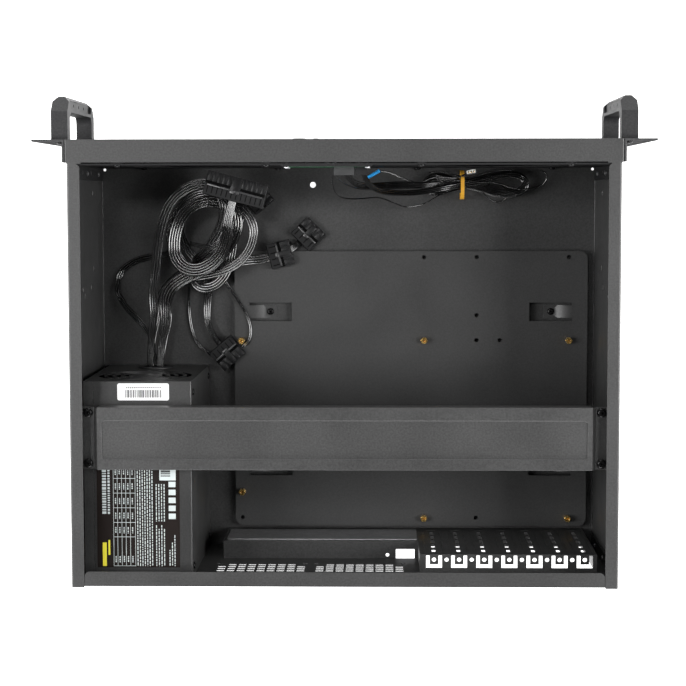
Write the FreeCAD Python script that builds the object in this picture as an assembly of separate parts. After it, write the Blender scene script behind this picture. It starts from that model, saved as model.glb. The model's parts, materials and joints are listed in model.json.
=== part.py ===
import FreeCAD, Part

import math
import os

# A 4U short-depth rack case with its power supply: one STEP file per piece.
#
# Millimetres. X runs along the rack's width, +Y to the rear, +Z up. While the pieces are
# modelled, Y = 0 is the face of the front panel, X = 0 the middle of the rack and Z = 0 the
# underside of the floor. The finished pieces are moved along Y, so that the origin ends
# under the middle of the case.

V = FreeCAD.Vector

# ---------------------------------------------------------------- overall sizes
RACK_WIDTH = 482.6          # across both ears, the 19-inch width
BODY_WIDTH = 428.0          # outside of the folded tub
BODY_HEIGHT = 177.0         # four rack units
CASE_DEPTH = 350.0          # face of the front panel to the rear ends of the side walls
SHEET = 1.0                 # steel of the tub, walls, tray and brackets
PLAY = 0.3                  # clearance between pieces that are screwed or dropped in
RIVET_PLAY = 0.05           # clearance round a rivet or screw shank

# ---------------------------------------------------------------- front panel
BEZEL_WIDTH = 431.0
BEZEL_DEPTH = 17.7
BEZEL_FACE = 1.2
BEZEL_LIP = 11.0            # return lip along the panel's four rear edges
BEZEL_POST_X = (60.0, 175.5)
TUB_FRONT = 18.6            # where the tub's floor and side walls start
VENT_SLOT = (4.0, 46.0)     # width and height of one intake slot
VENT_PITCH = 8.0
VENT_COLUMNS = 13
VENT_ROWS = 2
VENT_ROW_PITCH = 54.0
FAN_X = 118.0               # middle of each front fan place, either side of centre
FRONT_FAN_Z = 88.5
FRONT_FAN_BORE = 112.0
FRONT_FAN_HOLES = 105.0
FAN_HOLE = 4.3

# ---------------------------------------------------------------- tub
TOP_FLANGE = 10.0
FLOOR_RELIEF = 2.4          # round relief at the floor's front corners
FLOOR_HOLE = 5.0
FLOOR_HOLES = ((30.3, 34.0), (30.3, 69.7))
RAIL_HOLE = 4.2
RAIL_Y = (24.5, 119.5)      # slide rail holes along the side walls
RAIL_Z = (67.0, 110.0)
EXTRA_WALL_HOLES = ((41.5, 54.0), (104.0, 55.0), (125.0, 100.0))
RIVET_D = 4.0
RIVET_HEAD_D = 7.0
RIVET_HEAD = 1.2
WELD_FLANGE = 11.0          # flanges that carry the rivets
FRONT_RIVET_Z = (30.0, 88.5, 147.0)
REAR_RIVET_Z = (34.0, 88.5, 160.0)

# ---------------------------------------------------------------- ears and handles
EAR_SHEET = 1.6
EAR_GAP = 0.3
SLOT_LENGTH = 10.3
SLOT_WIDTH = 6.8
SLOT_X = 232.55             # half of the rack's 465.1 mm hole spacing
SLOT_Z = (21.8, 37.7, 139.3, 155.2)
EAR_HOLE = 4.0
EAR_HOLE_Z = (66.3, 110.7)
EAR_SCREW_Z = (24.0, 88.5, 153.0)
EAR_SCREW_Y = 9.0
HANDLE_SPACING = 120.0
HANDLE_MID_Z = 101.0
HANDLE_X = 220.8
HANDLE_WIDTH = 13.0
HANDLE_REACH = 34.0
HANDLE_BAR = 12.0
HANDLE_CORNER = 12.0
HANDLE_CHAMFER = 4.0
HANDLE_GROOVE = (7.0, 2.0)  # width and depth of the channel in the inner side
SCREW_D = 4.0
HANDLE_SCREW_HEAD = (6.0, 2.0)

# ---------------------------------------------------------------- motherboard tray
TRAY_X = (-206.4, 98.0)
TRAY_Y = (91.2, 330.2)
TRAY_TOP = 9.0
TRAY_CORNER = 7.0
FOOT_OPENING = (36.8, 16.0)
FOOT_WIDTH = 11.0
FOOT_SLOPE = 12.0
FOOT_FLAT = 12.0
FOOT_EDGES = ((85.3, -1), (-193.3, 1))      # edge that each foot hangs from, and its way
FOOT_Y = (143.5, 278.0)
BOARD_ORIGIN = (-190.2, 323.0)              # rear corner hole of the motherboard
BOARD_HOLES = ((0, 0), (124.46, 0), (282.2, -22.86), (0, -154.94), (124.46, -154.94), (282.2, -154.94))
SPARE_HOLES = ((0, -226.6), (79.2, -226.6), (124.46, -226.6), (79.2, -176.6), (79.2, -154.94),
               (59.1, -154.94), (79.2, 0), (282.2, 0))
STANDOFF_D = 6.0
STANDOFF_TOP = 15.5
STANDOFF_BORE = 2.5
SPARE_HOLE_D = 3.6

# ---------------------------------------------------------------- crossbar
BAR_Y = (208.3, 257.6)
BAR_TOP = 172.0
BAR_SHEET = 1.2
BAR_HALF = 193.5
BAR_STEP = 6.0
BAR_FLANGE = 15.0
BAR_PANEL = (380.0, 30.3, 1.0, 3.5)         # length, width, depth and corner of its emboss
BAR_SCREW_X = 201.3
BAR_SCREW_SPACING = 40.0
BAR_BRACKET_HEIGHT = 22.0

# ---------------------------------------------------------------- rear wall
REAR_PLANE = 349.0          # outer face
REAR_FLANGE = 11.5
REAR_FLANGE_CORNER = 4.0
RECESS_Y = 333.3            # inner face of the recess that holds ports and slots
PORT_WINDOW = (158.75, 44.45)
PORT_X = -58.1              # the window's end nearest the slots
PORT_Z = 15.0
PORT_SHELF = 66.0
PORT_END = 104.0
NOTCH = (15.7, 8.0)
SLOT_COUNT = 7
SLOT_PITCH = 20.32
FIRST_SLOT_X = -71.8
SLOT_SHELF = 123.0
SLOT_SIDE = 9.9             # from the last slot's middle to the recess end
COVER_WIDTH = 13.6
COVER_SLIT = 0.8
COVER_NIB = 3.0
SEAT_WIDTH = 12.9           # cut-out in the shelf round each cover's tongue
SEAT_DEPTH = 10.2
TONGUE_WIDTH = 7.0
TONGUE_LENGTH = 7.2
TONGUE_HOLE = 3.5
BRACKET_SCREW = 3.4
BRACKET_SCREW_Y = 4.5
COVER_VENT = (3.2, 12.0)
COVER_VENT_Z = (30.0, 49.0, 68.0, 87.0, 106.0)
GRILLE_X = (69.6, -11.2)
GRILLE_Z = 125.0
GRILLE_CELLS = 9
GRILLE_PITCH = 8.15
GRILLE_HOLE = 6.3
FAN80_HOLES = 71.5

# ---------------------------------------------------------------- power supply
PSU_WIDTH = 86.0
PSU_HEIGHT = 150.0
PSU_X = 121.3               # its face towards the motherboard
PSU_FRONT = 190.0
PSU_SHEET = 0.8
PSU_SEAM = 7.6              # rim of the base that the cover leaves bare
PSU_MOUNTS = ((6.0, 16.0), (6.0, 80.0), (144.0, 80.0), (120.0, 6.0))
PSU_FAN_U = 52.0            # from the top face down to the fan's middle
PSU_FAN = 80.0
PSU_FAN_DEPTH = 25.0
PSU_FAN_BORE = 76.0
PSU_GUARD_RINGS = 4
PSU_GUARD_BAR = 2.6
BLADES = 7
HUB_D = 30.0
ROTOR_PLAY = 0.8
INLET_U = 118.0
INLET_V = 58.0
INLET_SIZE = (27.0, 20.0)
SWITCH_V = 24.0
SWITCH_SIZE = (13.0, 19.0)
ROCKER_TILT = 8.0           # the switch rests with its lower half pressed in
BUSHING_U = 120.0
BUSHING_D = 26.0
STICKER_MID = 38.3          # from the face towards the motherboard

# ---------------------------------------------------------------- front ports
IO_X = 12.9                 # middle of the port group
IO_Z = 156.0
IO_BOARD = (66.0, 26.0, 1.6)
IO_WINDOW = (60.0, 20.0)
LIP = (73.0, 2.7)
POWER_X = 22.0
POWER_D = 11.0
RESET_X = 9.0
RESET_D = 5.0
LED_X = (0.5, -5.5)
LED_D = 3.0
USB_X = (-15.0, -25.0)
USB_SIZE = (5.6, 13.4)      # the sockets stand on edge
USB_WALL = 0.4
BUTTON_TRAVEL = 1.5
BUTTON_PLAY = 0.3
BUTTON_PROUD = 1.0
STEM_D = 3.0
HEADER_PITCH = 2.54

REAR_HEAD = 2.0             # screw heads behind the rear wall
WALL_IN = BODY_WIDTH / 2 - SHEET
PSU_Z = SHEET + PLAY
PSU_REAR = REAR_PLANE - SHEET
FRONT_WALL_IN = TUB_FRONT + SHEET
REAR_IN = REAR_PLANE - SHEET
CASE_DEPTH_OUT = REAR_PLANE + max(REAR_HEAD, CASE_DEPTH - REAR_PLANE)

# ---------------------------------------------------------------- leads: sizes and routes
BUNDLE_D = 20.0             # hole of the bushing that the supply leads share
MAIN_D, CPU_D, DRIVE_D, FRONT_LEAD_D = 7.0, 6.0, 5.0, 4.5
SIDE_D, LOOP_D = 4.0, 2.8

MAIN_LEAD = [(160.1, 188.5, 35.5), (159.0, 170.0, 36.0), (154.0, 149.0, 38.0), (147.0, 130.0, 40.0),
             (140.0, 112.0, 40.0)]
CPU_LEAD = [(168.5, 188.5, 35.5), (168.0, 168.0, 37.5), (164.0, 146.0, 41.0), (156.0, 125.0, 43.0),
            (146.0, 104.0, 43.0)]
DRIVE_LEAD = [(160.1, 188.5, 27.1), (158.5, 170.0, 26.0), (153.0, 150.0, 24.0), (145.0, 131.0, 22.0),
              (136.0, 113.0, 22.0)]
SPARE_LEAD = [(168.5, 188.5, 27.1), (168.0, 168.0, 26.0), (163.5, 147.0, 24.0), (155.0, 127.0, 22.0),
              (144.0, 108.0, 22.0)]
MAIN_TAIL = [(99.0, 88.0, 51.0), (99.5, 76.0, 60.0), (98.5, 62.0, 65.3), (94.6, 47.7, 65.3)]
CPU_TAIL = [(111.0, 81.0, 13.0), (103.5, 70.5, 9.0), (94.3, 61.0, 6.7), (84.5, 52.8, 6.7)]
SPARE_TAIL = [(106.0, 100.0, 28.0), (94.0, 99.5, 20.0), (81.0, 98.6, 14.0), (68.0, 96.4, 12.9),
              (57.8, 93.6, 12.9), (47.0, 88.5, 11.0), (41.4, 83.1, 5.5)]
DRIVE_TAIL = [(116.0, 106.0, 14.0), (120.0, 123.0, 8.0), (123.0, 142.0, 6.0), (120.5, 160.0, 8.5),
              (110.6, 171.5, 12.8)]
SIDE_LEAD = [(164.3, 188.5, 31.3), (165.0, 173.0, 31.3), (170.5, 158.5, 30.0), (180.5, 148.5, 25.0),
             (191.5, 139.0, 17.0), (200.5, 126.0, 8.5), (199.0, 110.0, 3.5), (186.0, 99.5, 3.5),
             (170.5, 95.5, 3.6), (157.0, 93.5, 7.0), (147.0, 92.0, 11.0)]
LOOP_NEAR = [(136.3, 113.0, 11.0), (138.0, 125.0, 6.5), (138.4, 139.5, 3.4), (137.0, 155.5, 3.1),
             (132.5, 170.0, 3.1), (122.5, 180.0, 5.0), (109.4, 184.2, 9.5)]
LOOP_FAR = [(98.5, 175.0, 12.4), (88.0, 173.5, 11.6), (83.5, 163.0, 10.9), (85.5, 149.5, 10.8),
            (92.5, 137.0, 10.8), (100.5, 125.5, 11.4), (107.0, 115.0, 12.5), (111.5, 106.5, 13.5)]
FRONT_LEAD = [(-0.1, 24.4, 151.6), (-0.1, 24.4, 139.0), (-3.0, 29.0, 122.0), (-8.0, 34.0, 100.0),
              (-16.0, 36.0, 76.0), (-29.0, 34.0, 53.0), (-47.0, 33.0, 33.0), (-68.0, 33.0, 20.0)]
USB_LEAD = [(-14.1, 24.2, 151.5), (-14.1, 24.2, 140.0), (-17.5, 32.0, 124.0), (-23.0, 38.0, 102.0),
            (-33.0, 41.0, 76.0), (-47.0, 41.0, 52.0), (-64.0, 39.5, 32.0), (-84.0, 38.0, 18.0)]
HANK = (121.5, 75.0, 33.0, 44.0, 12.0, 24.0)        # middle, outer and inner half sizes
HANK_Z = (1.3, 60.0)
FRONT_HANK = ((-158.0, -62.0), (22.5, 46.0), (1.3, 25.0))


# ---------------------------------------------------------------- shape helpers
def block(x, y, z):
    """A box from three (low, high) pairs."""
    return Part.makeBox(x[1] - x[0], y[1] - y[0], z[1] - z[0], V(x[0], y[0], z[0]))


def middle_block(x, y, z, size):
    """A box of a given size about a middle point."""
    low = [c - s / 2 for c, s in zip((x, y, z), size)]
    return Part.makeBox(*size, V(*low))


AXES = {"x": V(1, 0, 0), "y": V(0, 1, 0), "z": V(0, 0, 1)}


def rod(d, length, at, axis):
    """A cylinder that starts at a point and runs along an axis."""
    return Part.makeCylinder(d / 2, length, V(*at), AXES[axis])


def ring(outer, inner, length, at, axis):
    return rod(outer, length, at, axis).cut(rod(inner, length, at, axis))


def oblong(length, width, depth, at):
    """A slot along X with round ends, that cuts through along Y."""
    half = (length - width) / 2
    x, y, z = at
    core = block((x - half, x + half), (y, y + depth), (z - width / 2, z + width / 2))
    ends = [rod(width, depth, (x + side * half, y, z), "y") for side in (-1, 1)]
    return core.multiFuse(ends)


def prism(points, vector):
    """A closed outline of points, drawn out along a vector."""
    corners = [V(*p) for p in points]
    return Part.Face(Part.makePolygon(corners + corners[:1])).extrude(vector)


def rounded(x, y, z, radius):
    """A box whose four upright edges are rounded."""
    shape = block(x, y, z)
    upright = [e for e in shape.Edges if abs(e.Vertexes[0].Z - e.Vertexes[-1].Z) > 1e-6]
    return shape.makeFillet(radius, upright)


def long_edges(shape, axis):
    """The straight edges of a shape that run along an axis."""
    way = AXES[axis]
    return [e for e in shape.Edges if e.Curve.TypeId == "Part::GeomLine"
            and abs(abs(e.Curve.Direction.dot(way)) - 1) < 1e-6]


def fuse(*shapes):
    return shapes[0].multiFuse(list(shapes[1:])).removeSplitter()


def cut(shape, tools):
    return shape.cut(Part.makeCompound(list(tools)))


def mirrored(shape):
    """The same piece on the other side of the rack."""
    return shape.mirror(V(0, 0, 0), V(1, 0, 0))


def screw(d, length, head_d, head, at, axis, way=1):
    """A pan-head screw: at is under the head, and the shank runs along axis times way."""
    base = V(*at)
    direction = AXES[axis] * way
    shank = Part.makeCylinder(d / 2, length, base, direction)
    rim = Part.makeCylinder(head_d / 2, head * 0.4, base, direction * -1)
    crown = Part.makeCone(head_d / 2, head_d * 0.3, head * 0.6, base - direction * head * 0.4, direction * -1)
    return fuse(shank, rim, crown)


# ---------------------------------------------------------------- tub and walls
def chassis_tub():
    """Floor and side walls, folded from one sheet, with flanges along the top."""
    half = BODY_WIDTH / 2
    outer = block((-half, half), (TUB_FRONT, CASE_DEPTH), (0, BODY_HEIGHT))
    outer = outer.makeFillet(1.5 * SHEET, long_edges(outer, "y"))
    inner = block((-WALL_IN, WALL_IN), (TUB_FRONT, CASE_DEPTH), (SHEET, BODY_HEIGHT - SHEET))
    inner = inner.makeFillet(0.5 * SHEET, long_edges(inner, "y"))
    mouth = half - TOP_FLANGE
    opening = block((-mouth, mouth), (TUB_FRONT, CASE_DEPTH), (SHEET * 2, BODY_HEIGHT + SHEET))
    tools = [opening]
    tools += [rod(FLOOR_HOLE, SHEET * 3, (x, y, -SHEET), "z") for x, y in FLOOR_HOLES]
    tools += [rod(FLOOR_RELIEF, SHEET * 3,
                  (side * (WALL_IN - FLOOR_RELIEF), FRONT_WALL_IN + FLOOR_RELIEF / 2, -SHEET), "z")
              for side in (-1, 1)]
    tools += [rod(SCREW_D * 0.8, SHEET * 3, (x, y, -SHEET), "z") for x, y in foot_screws()]
    wall_holes = [(y, z) for y in RAIL_Y for z in RAIL_Z] + list(EXTRA_WALL_HOLES)
    for side in (-1, 1):
        start = side * half - SHEET * 2
        tools += [rod(RAIL_HOLE, SHEET * 4, (start, y, z), "x") for y, z in wall_holes]
        tools += [rod(RIVET_D + 2 * RIVET_PLAY, SHEET * 4, (start, y, z), "x") for y, z in rivet_places()]
        tools += [rod(RIVET_D + 2 * RIVET_PLAY, SHEET * 4, (start, y, z), "x") for y, z in bracket_rivets()]
    shell = cut(outer.cut(inner), tools)
    corner = TOP_FLANGE * 0.4
    for side in (-1, 1):
        x = side * mouth
        y = TUB_FRONT
        nook = block(sorted((x, x + side * corner)), (y, y + corner),
                     (BODY_HEIGHT - 2 * SHEET, BODY_HEIGHT + SHEET))
        shell = shell.cut(nook.cut(rod(2 * corner, SHEET * 4,
                                       (x + side * corner, y + corner, BODY_HEIGHT - 2 * SHEET), "z")))
    return shell


def rivet_places():
    front_y = FRONT_WALL_IN + WELD_FLANGE / 2
    rear_y = REAR_IN - WELD_FLANGE / 2
    return [(front_y, z) for z in FRONT_RIVET_Z] + [(rear_y, z) for z in REAR_RIVET_Z]


def bracket_rivets():
    middle = sum(BAR_Y) / 2
    z = bracket_top() - BAR_BRACKET_HEIGHT * 0.6
    return [(middle - BAR_SCREW_SPACING / 2, z), (middle + BAR_SCREW_SPACING / 2, z)]


def rivet(x, y, z, side, grip):
    """A pop rivet through the side wall, its domed head outside and its tail inside."""
    head = Part.makeCone(RIVET_HEAD_D / 2, RIVET_HEAD_D / 4, RIVET_HEAD, V(x, y, z), V(side, 0, 0))
    shank = Part.makeCylinder(RIVET_D / 2, grip + RIVET_D * 0.3, V(x, y, z), V(-side, 0, 0))
    return fuse(head, shank)


def wall_rivets():
    half = BODY_WIDTH / 2
    places = rivet_places() + bracket_rivets()
    return [rivet(side * half, y, z, side, 2 * SHEET) for side in (-1, 1) for y, z in places]


def bezel_posts():
    """Where the front wall's pressed pads meet the front panel's lips."""
    z = BEZEL_LIP / 2 + SHEET
    return [(side * x, pz) for side in (-1, 1) for x in BEZEL_POST_X for pz in (z, BODY_HEIGHT - z)]


def front_wall():
    """The tub's front wall: fan openings, a window for the ports, pads and a centre lip."""
    gap = TUB_FRONT - BEZEL_DEPTH
    plate = block((-WALL_IN, WALL_IN), (TUB_FRONT, FRONT_WALL_IN), (SHEET, BODY_HEIGHT - 1.5 * SHEET))
    sides = [block(sorted((side * WALL_IN, side * (WALL_IN - SHEET))),
                   (FRONT_WALL_IN - SHEET / 2, FRONT_WALL_IN + WELD_FLANGE),
                   (SHEET * 3, BODY_HEIGHT - 3 * SHEET)) for side in (-1, 1)]
    pads = [rod(9.0, gap + SHEET / 2, (x, BEZEL_DEPTH, z), "y") for x, z in bezel_posts()]
    length, reach = LIP
    top = BODY_HEIGHT - 1.5 * SHEET
    chamfer = reach * 0.8
    lip = prism([(IO_X - length / 2, TUB_FRONT, top), (IO_X + length / 2, TUB_FRONT, top),
                 (IO_X + length / 2 - chamfer, TUB_FRONT + reach, top),
                 (IO_X - length / 2 + chamfer, TUB_FRONT + reach, top)], V(0, 0, -SHEET))
    wall = fuse(plate, *sides, *pads, lip)
    tools = [rod(FRONT_FAN_BORE, SHEET * 4, (side * FAN_X, TUB_FRONT - SHEET, FRONT_FAN_Z), "y")
             for side in (-1, 1)]
    for side in (-1, 1):
        tools += [rod(FAN_HOLE, SHEET * 4, (side * FAN_X + dx, TUB_FRONT - SHEET, FRONT_FAN_Z + dz), "y")
                  for dx, dz in corners(FRONT_FAN_HOLES, FRONT_FAN_HOLES)]
    tools += [rod(SCREW_D * 0.75, SHEET * 6, (x, BEZEL_DEPTH - SHEET, z), "y") for x, z in bezel_posts()]
    tools.append(middle_block(IO_X, TUB_FRONT, IO_Z, (IO_WINDOW[0], SHEET * 6, IO_WINDOW[1])))
    tools += [rod(2.6, SHEET * 6, (x, TUB_FRONT - SHEET, z), "y") for x, z in io_screws()]
    tools += [rod(RIVET_D + 2 * RIVET_PLAY, SHEET * 6, (side * WALL_IN - SHEET * 3, y, z), "x")
              for side in (-1, 1) for y, z in rivet_places() if y < CASE_DEPTH / 2]
    tools += [rod(RAIL_HOLE, SHEET * 4, (side * WALL_IN - SHEET * 2, RAIL_Y[0], z), "x")
              for side in (-1, 1) for z in RAIL_Z]
    tools += bend_reliefs(TUB_FRONT, FRONT_WALL_IN)
    return cut(wall, tools)


def bend_reliefs(y0, y1):
    """Small corner cuts that clear the tub's inner bends."""
    half = 1.2 * SHEET
    return [middle_block(side * WALL_IN, (y0 + y1) / 2, z, (half, y1 - y0 + 2, half))
            for side in (-1, 1) for z in (SHEET, BODY_HEIGHT - SHEET)]


def corners(width, height):
    return [(dx * width / 2, dz * height / 2) for dx in (-1, 1) for dz in (-1, 1)]


def io_screws():
    return [(IO_X + side * (IO_WINDOW[0] + IO_BOARD[0]) / 4, IO_Z + up * (IO_WINDOW[1] / 2 + 1.4))
            for side in (-1, 1) for up in (-1, 1)]


def front_bezel():
    """Folded front panel: a shallow box with intake slots and the port holes."""
    half = BEZEL_WIDTH / 2
    box = block((-half, half), (0, BEZEL_DEPTH), (0, BODY_HEIGHT))
    box = box.makeFillet(1.2, long_edges(box, "y"))
    hollow = block((-half + SHEET, half - SHEET), (BEZEL_FACE, BEZEL_DEPTH - SHEET),
                   (SHEET, BODY_HEIGHT - SHEET))
    back = block((-half + BEZEL_LIP, half - BEZEL_LIP), (BEZEL_FACE, BEZEL_DEPTH + SHEET),
                 (BEZEL_LIP, BODY_HEIGHT - BEZEL_LIP))
    tools = [hollow, back]
    width, height = VENT_SLOT
    for side in (-1, 1):
        for column in range(VENT_COLUMNS):
            x = side * FAN_X + (column - (VENT_COLUMNS - 1) / 2) * VENT_PITCH
            for row in range(VENT_ROWS):
                z = FRONT_FAN_Z + (row - (VENT_ROWS - 1) / 2) * VENT_ROW_PITCH
                tools.append(middle_block(x, BEZEL_FACE / 2, z, (width, BEZEL_FACE * 3, height)))
    through = BEZEL_FACE * 3
    tools.append(rod(POWER_D + 2 * BUTTON_PLAY, through, (IO_X + POWER_X, -BEZEL_FACE, IO_Z), "y"))
    tools.append(rod(RESET_D + 2 * BUTTON_PLAY, through, (IO_X + RESET_X, -BEZEL_FACE, IO_Z), "y"))
    tools += [rod(LED_D + 2 * RIVET_PLAY, through, (IO_X + x, -BEZEL_FACE, IO_Z), "y") for x in LED_X]
    tools += [middle_block(IO_X + x, 0, IO_Z,
                           (USB_SIZE[0] + 2 * PLAY, through * 2, USB_SIZE[1] + 2 * PLAY)) for x in USB_X]
    tools += [rod(SCREW_D * 0.75, SHEET * 4, (x, BEZEL_DEPTH - 2 * SHEET, z), "y") for x, z in bezel_posts()]
    tools += [rod(SCREW_D * 0.8, SHEET * 4, (side * half - 2 * SHEET, EAR_SCREW_Y, z), "x")
              for side in (-1, 1) for z in EAR_SCREW_Z]
    return cut(box, tools)


def bezel_screws():
    """Screws from inside the tub, through the pads, into the front panel's lips."""
    length = FRONT_WALL_IN - BEZEL_DEPTH + SHEET + 2
    return [screw(SCREW_D * 0.75 - 2 * RIVET_PLAY, length, 6.0, 1.8, (x, FRONT_WALL_IN, z), "y", -1)
            for x, z in bezel_posts()]


# ---------------------------------------------------------------- ears and handles
def ear():
    """The right ear: an angle whose plate bolts to the rack and whose leg bolts to the panel."""
    inner = BEZEL_WIDTH / 2 + EAR_GAP
    outer = RACK_WIDTH / 2
    plate = block((inner, outer), (0, EAR_SHEET), (0, BODY_HEIGHT))
    leg = block((inner, inner + EAR_SHEET), (0, BEZEL_DEPTH), (0, BODY_HEIGHT))
    angle = fuse(plate, leg)
    upright = [e for e in long_edges(angle, "y") if abs(e.CenterOfMass.x - outer) < 1e-6]
    angle = angle.makeFillet(2.0, upright)
    inside = [e for e in long_edges(angle, "z")
              if abs(e.CenterOfMass.x - inner - EAR_SHEET) < 1e-6
              and abs(e.CenterOfMass.y - EAR_SHEET) < 1e-6]
    angle = angle.makeFillet(0.4, inside)
    tools = [oblong(SLOT_LENGTH, SLOT_WIDTH, EAR_SHEET * 3, (SLOT_X, -EAR_SHEET, z)) for z in SLOT_Z]
    tools += [rod(EAR_HOLE, EAR_SHEET * 3, (SLOT_X, -EAR_SHEET, z), "y") for z in EAR_HOLE_Z]
    tools += [rod(SCREW_D, EAR_SHEET * 3, (HANDLE_X, -EAR_SHEET, z), "y") for z in handle_heights()]
    tools += [rod(SCREW_D, EAR_SHEET * 3, (inner - EAR_SHEET, EAR_SCREW_Y, z), "x") for z in EAR_SCREW_Z]
    return cut(angle, tools)


def handle_heights():
    return [HANDLE_MID_Z - HANDLE_SPACING / 2, HANDLE_MID_Z + HANDLE_SPACING / 2]


def handle():
    """The right handle: a cast loop with cut corners and a channel in its inner side."""
    low, high = (z + way * HANDLE_BAR / 2 for z, way in zip(handle_heights(), (-1, 1)))
    x = HANDLE_X - HANDLE_WIDTH / 2
    reach = HANDLE_REACH
    outline = [(x, 0, low), (x, -reach + HANDLE_CORNER, low), (x, -reach, low + HANDLE_CORNER),
               (x, -reach, high - HANDLE_CORNER), (x, -reach + HANDLE_CORNER, high), (x, 0, high)]
    body = prism(outline, V(HANDLE_WIDTH, 0, 0))
    gap = block((x - 1, x + HANDLE_WIDTH + 1), (-reach + HANDLE_BAR, 1),
                (low + HANDLE_BAR, high - HANDLE_BAR))
    bends = [e for e in long_edges(gap, "x") if e.CenterOfMass.y < 0]
    body = body.cut(gap.makeFillet(HANDLE_CORNER * 0.55, bends))
    front = [e for e in body.Edges if abs(e.CenterOfMass.y + reach) < 1e-6 and e.Length > HANDLE_SPACING / 2]
    body = body.makeChamfer(HANDLE_CHAMFER, front)
    width, depth = HANDLE_GROOVE
    inset = (HANDLE_BAR - width) / 2
    groove = block((x - 1, x + depth), (-reach + inset, -reach + inset + width),
                   (low + HANDLE_CORNER + inset, high - HANDLE_CORNER - inset))
    groove = groove.makeFillet(width * 0.4, long_edges(groove, "x"))
    cores = [rod(2.6, depth * 2, (x, -reach + HANDLE_BAR / 2, HANDLE_MID_Z + k * HANDLE_SPACING / 5), "x")
             for k in (-2, -1, 0, 1, 2)]
    bolts = [rod(SCREW_D - 2 * RIVET_PLAY, 14.0, (HANDLE_X, -12.0, z), "y") for z in handle_heights()]
    return cut(body, [groove, *cores, *bolts])


def handle_screws():
    head_d, head = HANDLE_SCREW_HEAD
    one_side = [screw(SCREW_D - 2 * RIVET_PLAY - 0.1, EAR_SHEET + 8.0, head_d, head,
                      (HANDLE_X, EAR_SHEET, z), "y", -1)
                for z in handle_heights()]
    return one_side + [mirrored(s) for s in one_side]


def ear_screws():
    x = BEZEL_WIDTH / 2 + EAR_GAP + EAR_SHEET
    one_side = [screw(SCREW_D * 0.8 - 2 * RIVET_PLAY, 6.0, 6.5, 1.6, (x, EAR_SCREW_Y, z), "x", -1)
                for z in EAR_SCREW_Z]
    return one_side + [mirrored(s) for s in one_side]


# ---------------------------------------------------------------- motherboard tray
def foot_screws():
    return [(edge + way * (FOOT_SLOPE + FOOT_FLAT * 0.5), y) for edge, way in FOOT_EDGES for y in FOOT_Y]


def foot_profile(edge, way, y):
    """One tongue that steps from the tray down to the floor."""
    top, low = TRAY_TOP, 2 * SHEET
    a, b, c = edge, edge + way * FOOT_SLOPE, edge + way * (FOOT_SLOPE + FOOT_FLAT)
    y0 = y - FOOT_WIDTH / 2
    root = edge - way * SHEET
    points = [(root, y0, top), (a, y0, top), (b, y0, low), (c, y0, low), (c, y0, low - SHEET),
              (b - way * SHEET * 0.3, y0, low - SHEET), (a - way * SHEET * 0.3, y0, top - SHEET),
              (root, y0, top - SHEET)]
    return prism(points, V(0, FOOT_WIDTH, 0))


def motherboard_tray():
    """A pressed plate on four feet, with tapped bosses for the motherboard."""
    plate = rounded(TRAY_X, TRAY_Y, (TRAY_TOP - SHEET, TRAY_TOP), TRAY_CORNER)
    windows = [block(sorted((edge, edge + way * FOOT_OPENING[0])),
                     (y - FOOT_OPENING[1] / 2, y + FOOT_OPENING[1] / 2),
                     (0, TRAY_TOP + SHEET)) for edge, way in FOOT_EDGES for y in FOOT_Y]
    plate = cut(plate, windows)
    feet = [foot_profile(edge, way, y) for edge, way in FOOT_EDGES for y in FOOT_Y]
    plate = fuse(plate, *feet)
    ox, oy = BOARD_ORIGIN
    tools = [rod(STANDOFF_BORE + 1.0, 3 * SHEET, (ox + x, oy + y, TRAY_TOP - 2 * SHEET), "z")
             for x, y in BOARD_HOLES]
    tools += [rod(SPARE_HOLE_D, 3 * SHEET, (ox + x, oy + y, TRAY_TOP - 2 * SHEET), "z")
              for x, y in SPARE_HOLES]
    tools += [rod(SCREW_D * 0.8, 3 * SHEET, (x, y, 0), "z") for x, y in foot_screws()]
    return cut(plate, tools)


def tray_screws():
    return [screw(SCREW_D * 0.8 - 2 * RIVET_PLAY, 2 * SHEET - 0.3, 6.0, 1.8, (x, y, 2 * SHEET), "z", -1)
            for x, y in foot_screws()]


def standoffs():
    """Hexagon brass posts with a tapped hole, screwed into the tray."""
    found = []
    for dx, dy in BOARD_HOLES:
        x, y = BOARD_ORIGIN[0] + dx, BOARD_ORIGIN[1] + dy
        points = [(x + STANDOFF_D / 2 * math.cos(math.radians(60 * k)),
                   y + STANDOFF_D / 2 * math.sin(math.radians(60 * k)), TRAY_TOP)
                  for k in range(6)]
        post = prism(points, V(0, 0, STANDOFF_TOP - TRAY_TOP))
        stud = rod(STANDOFF_BORE + 1.0 - 2 * RIVET_PLAY, 2 * SHEET, (x, y, TRAY_TOP - 2 * SHEET), "z")
        bore = rod(STANDOFF_BORE, STANDOFF_TOP - TRAY_TOP, (x, y, TRAY_TOP), "z")
        found.append(fuse(post, stud).cut(bore))
    return found


# ---------------------------------------------------------------- crossbar
def bracket_top():
    return BAR_TOP - BAR_STEP - BAR_SHEET


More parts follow.
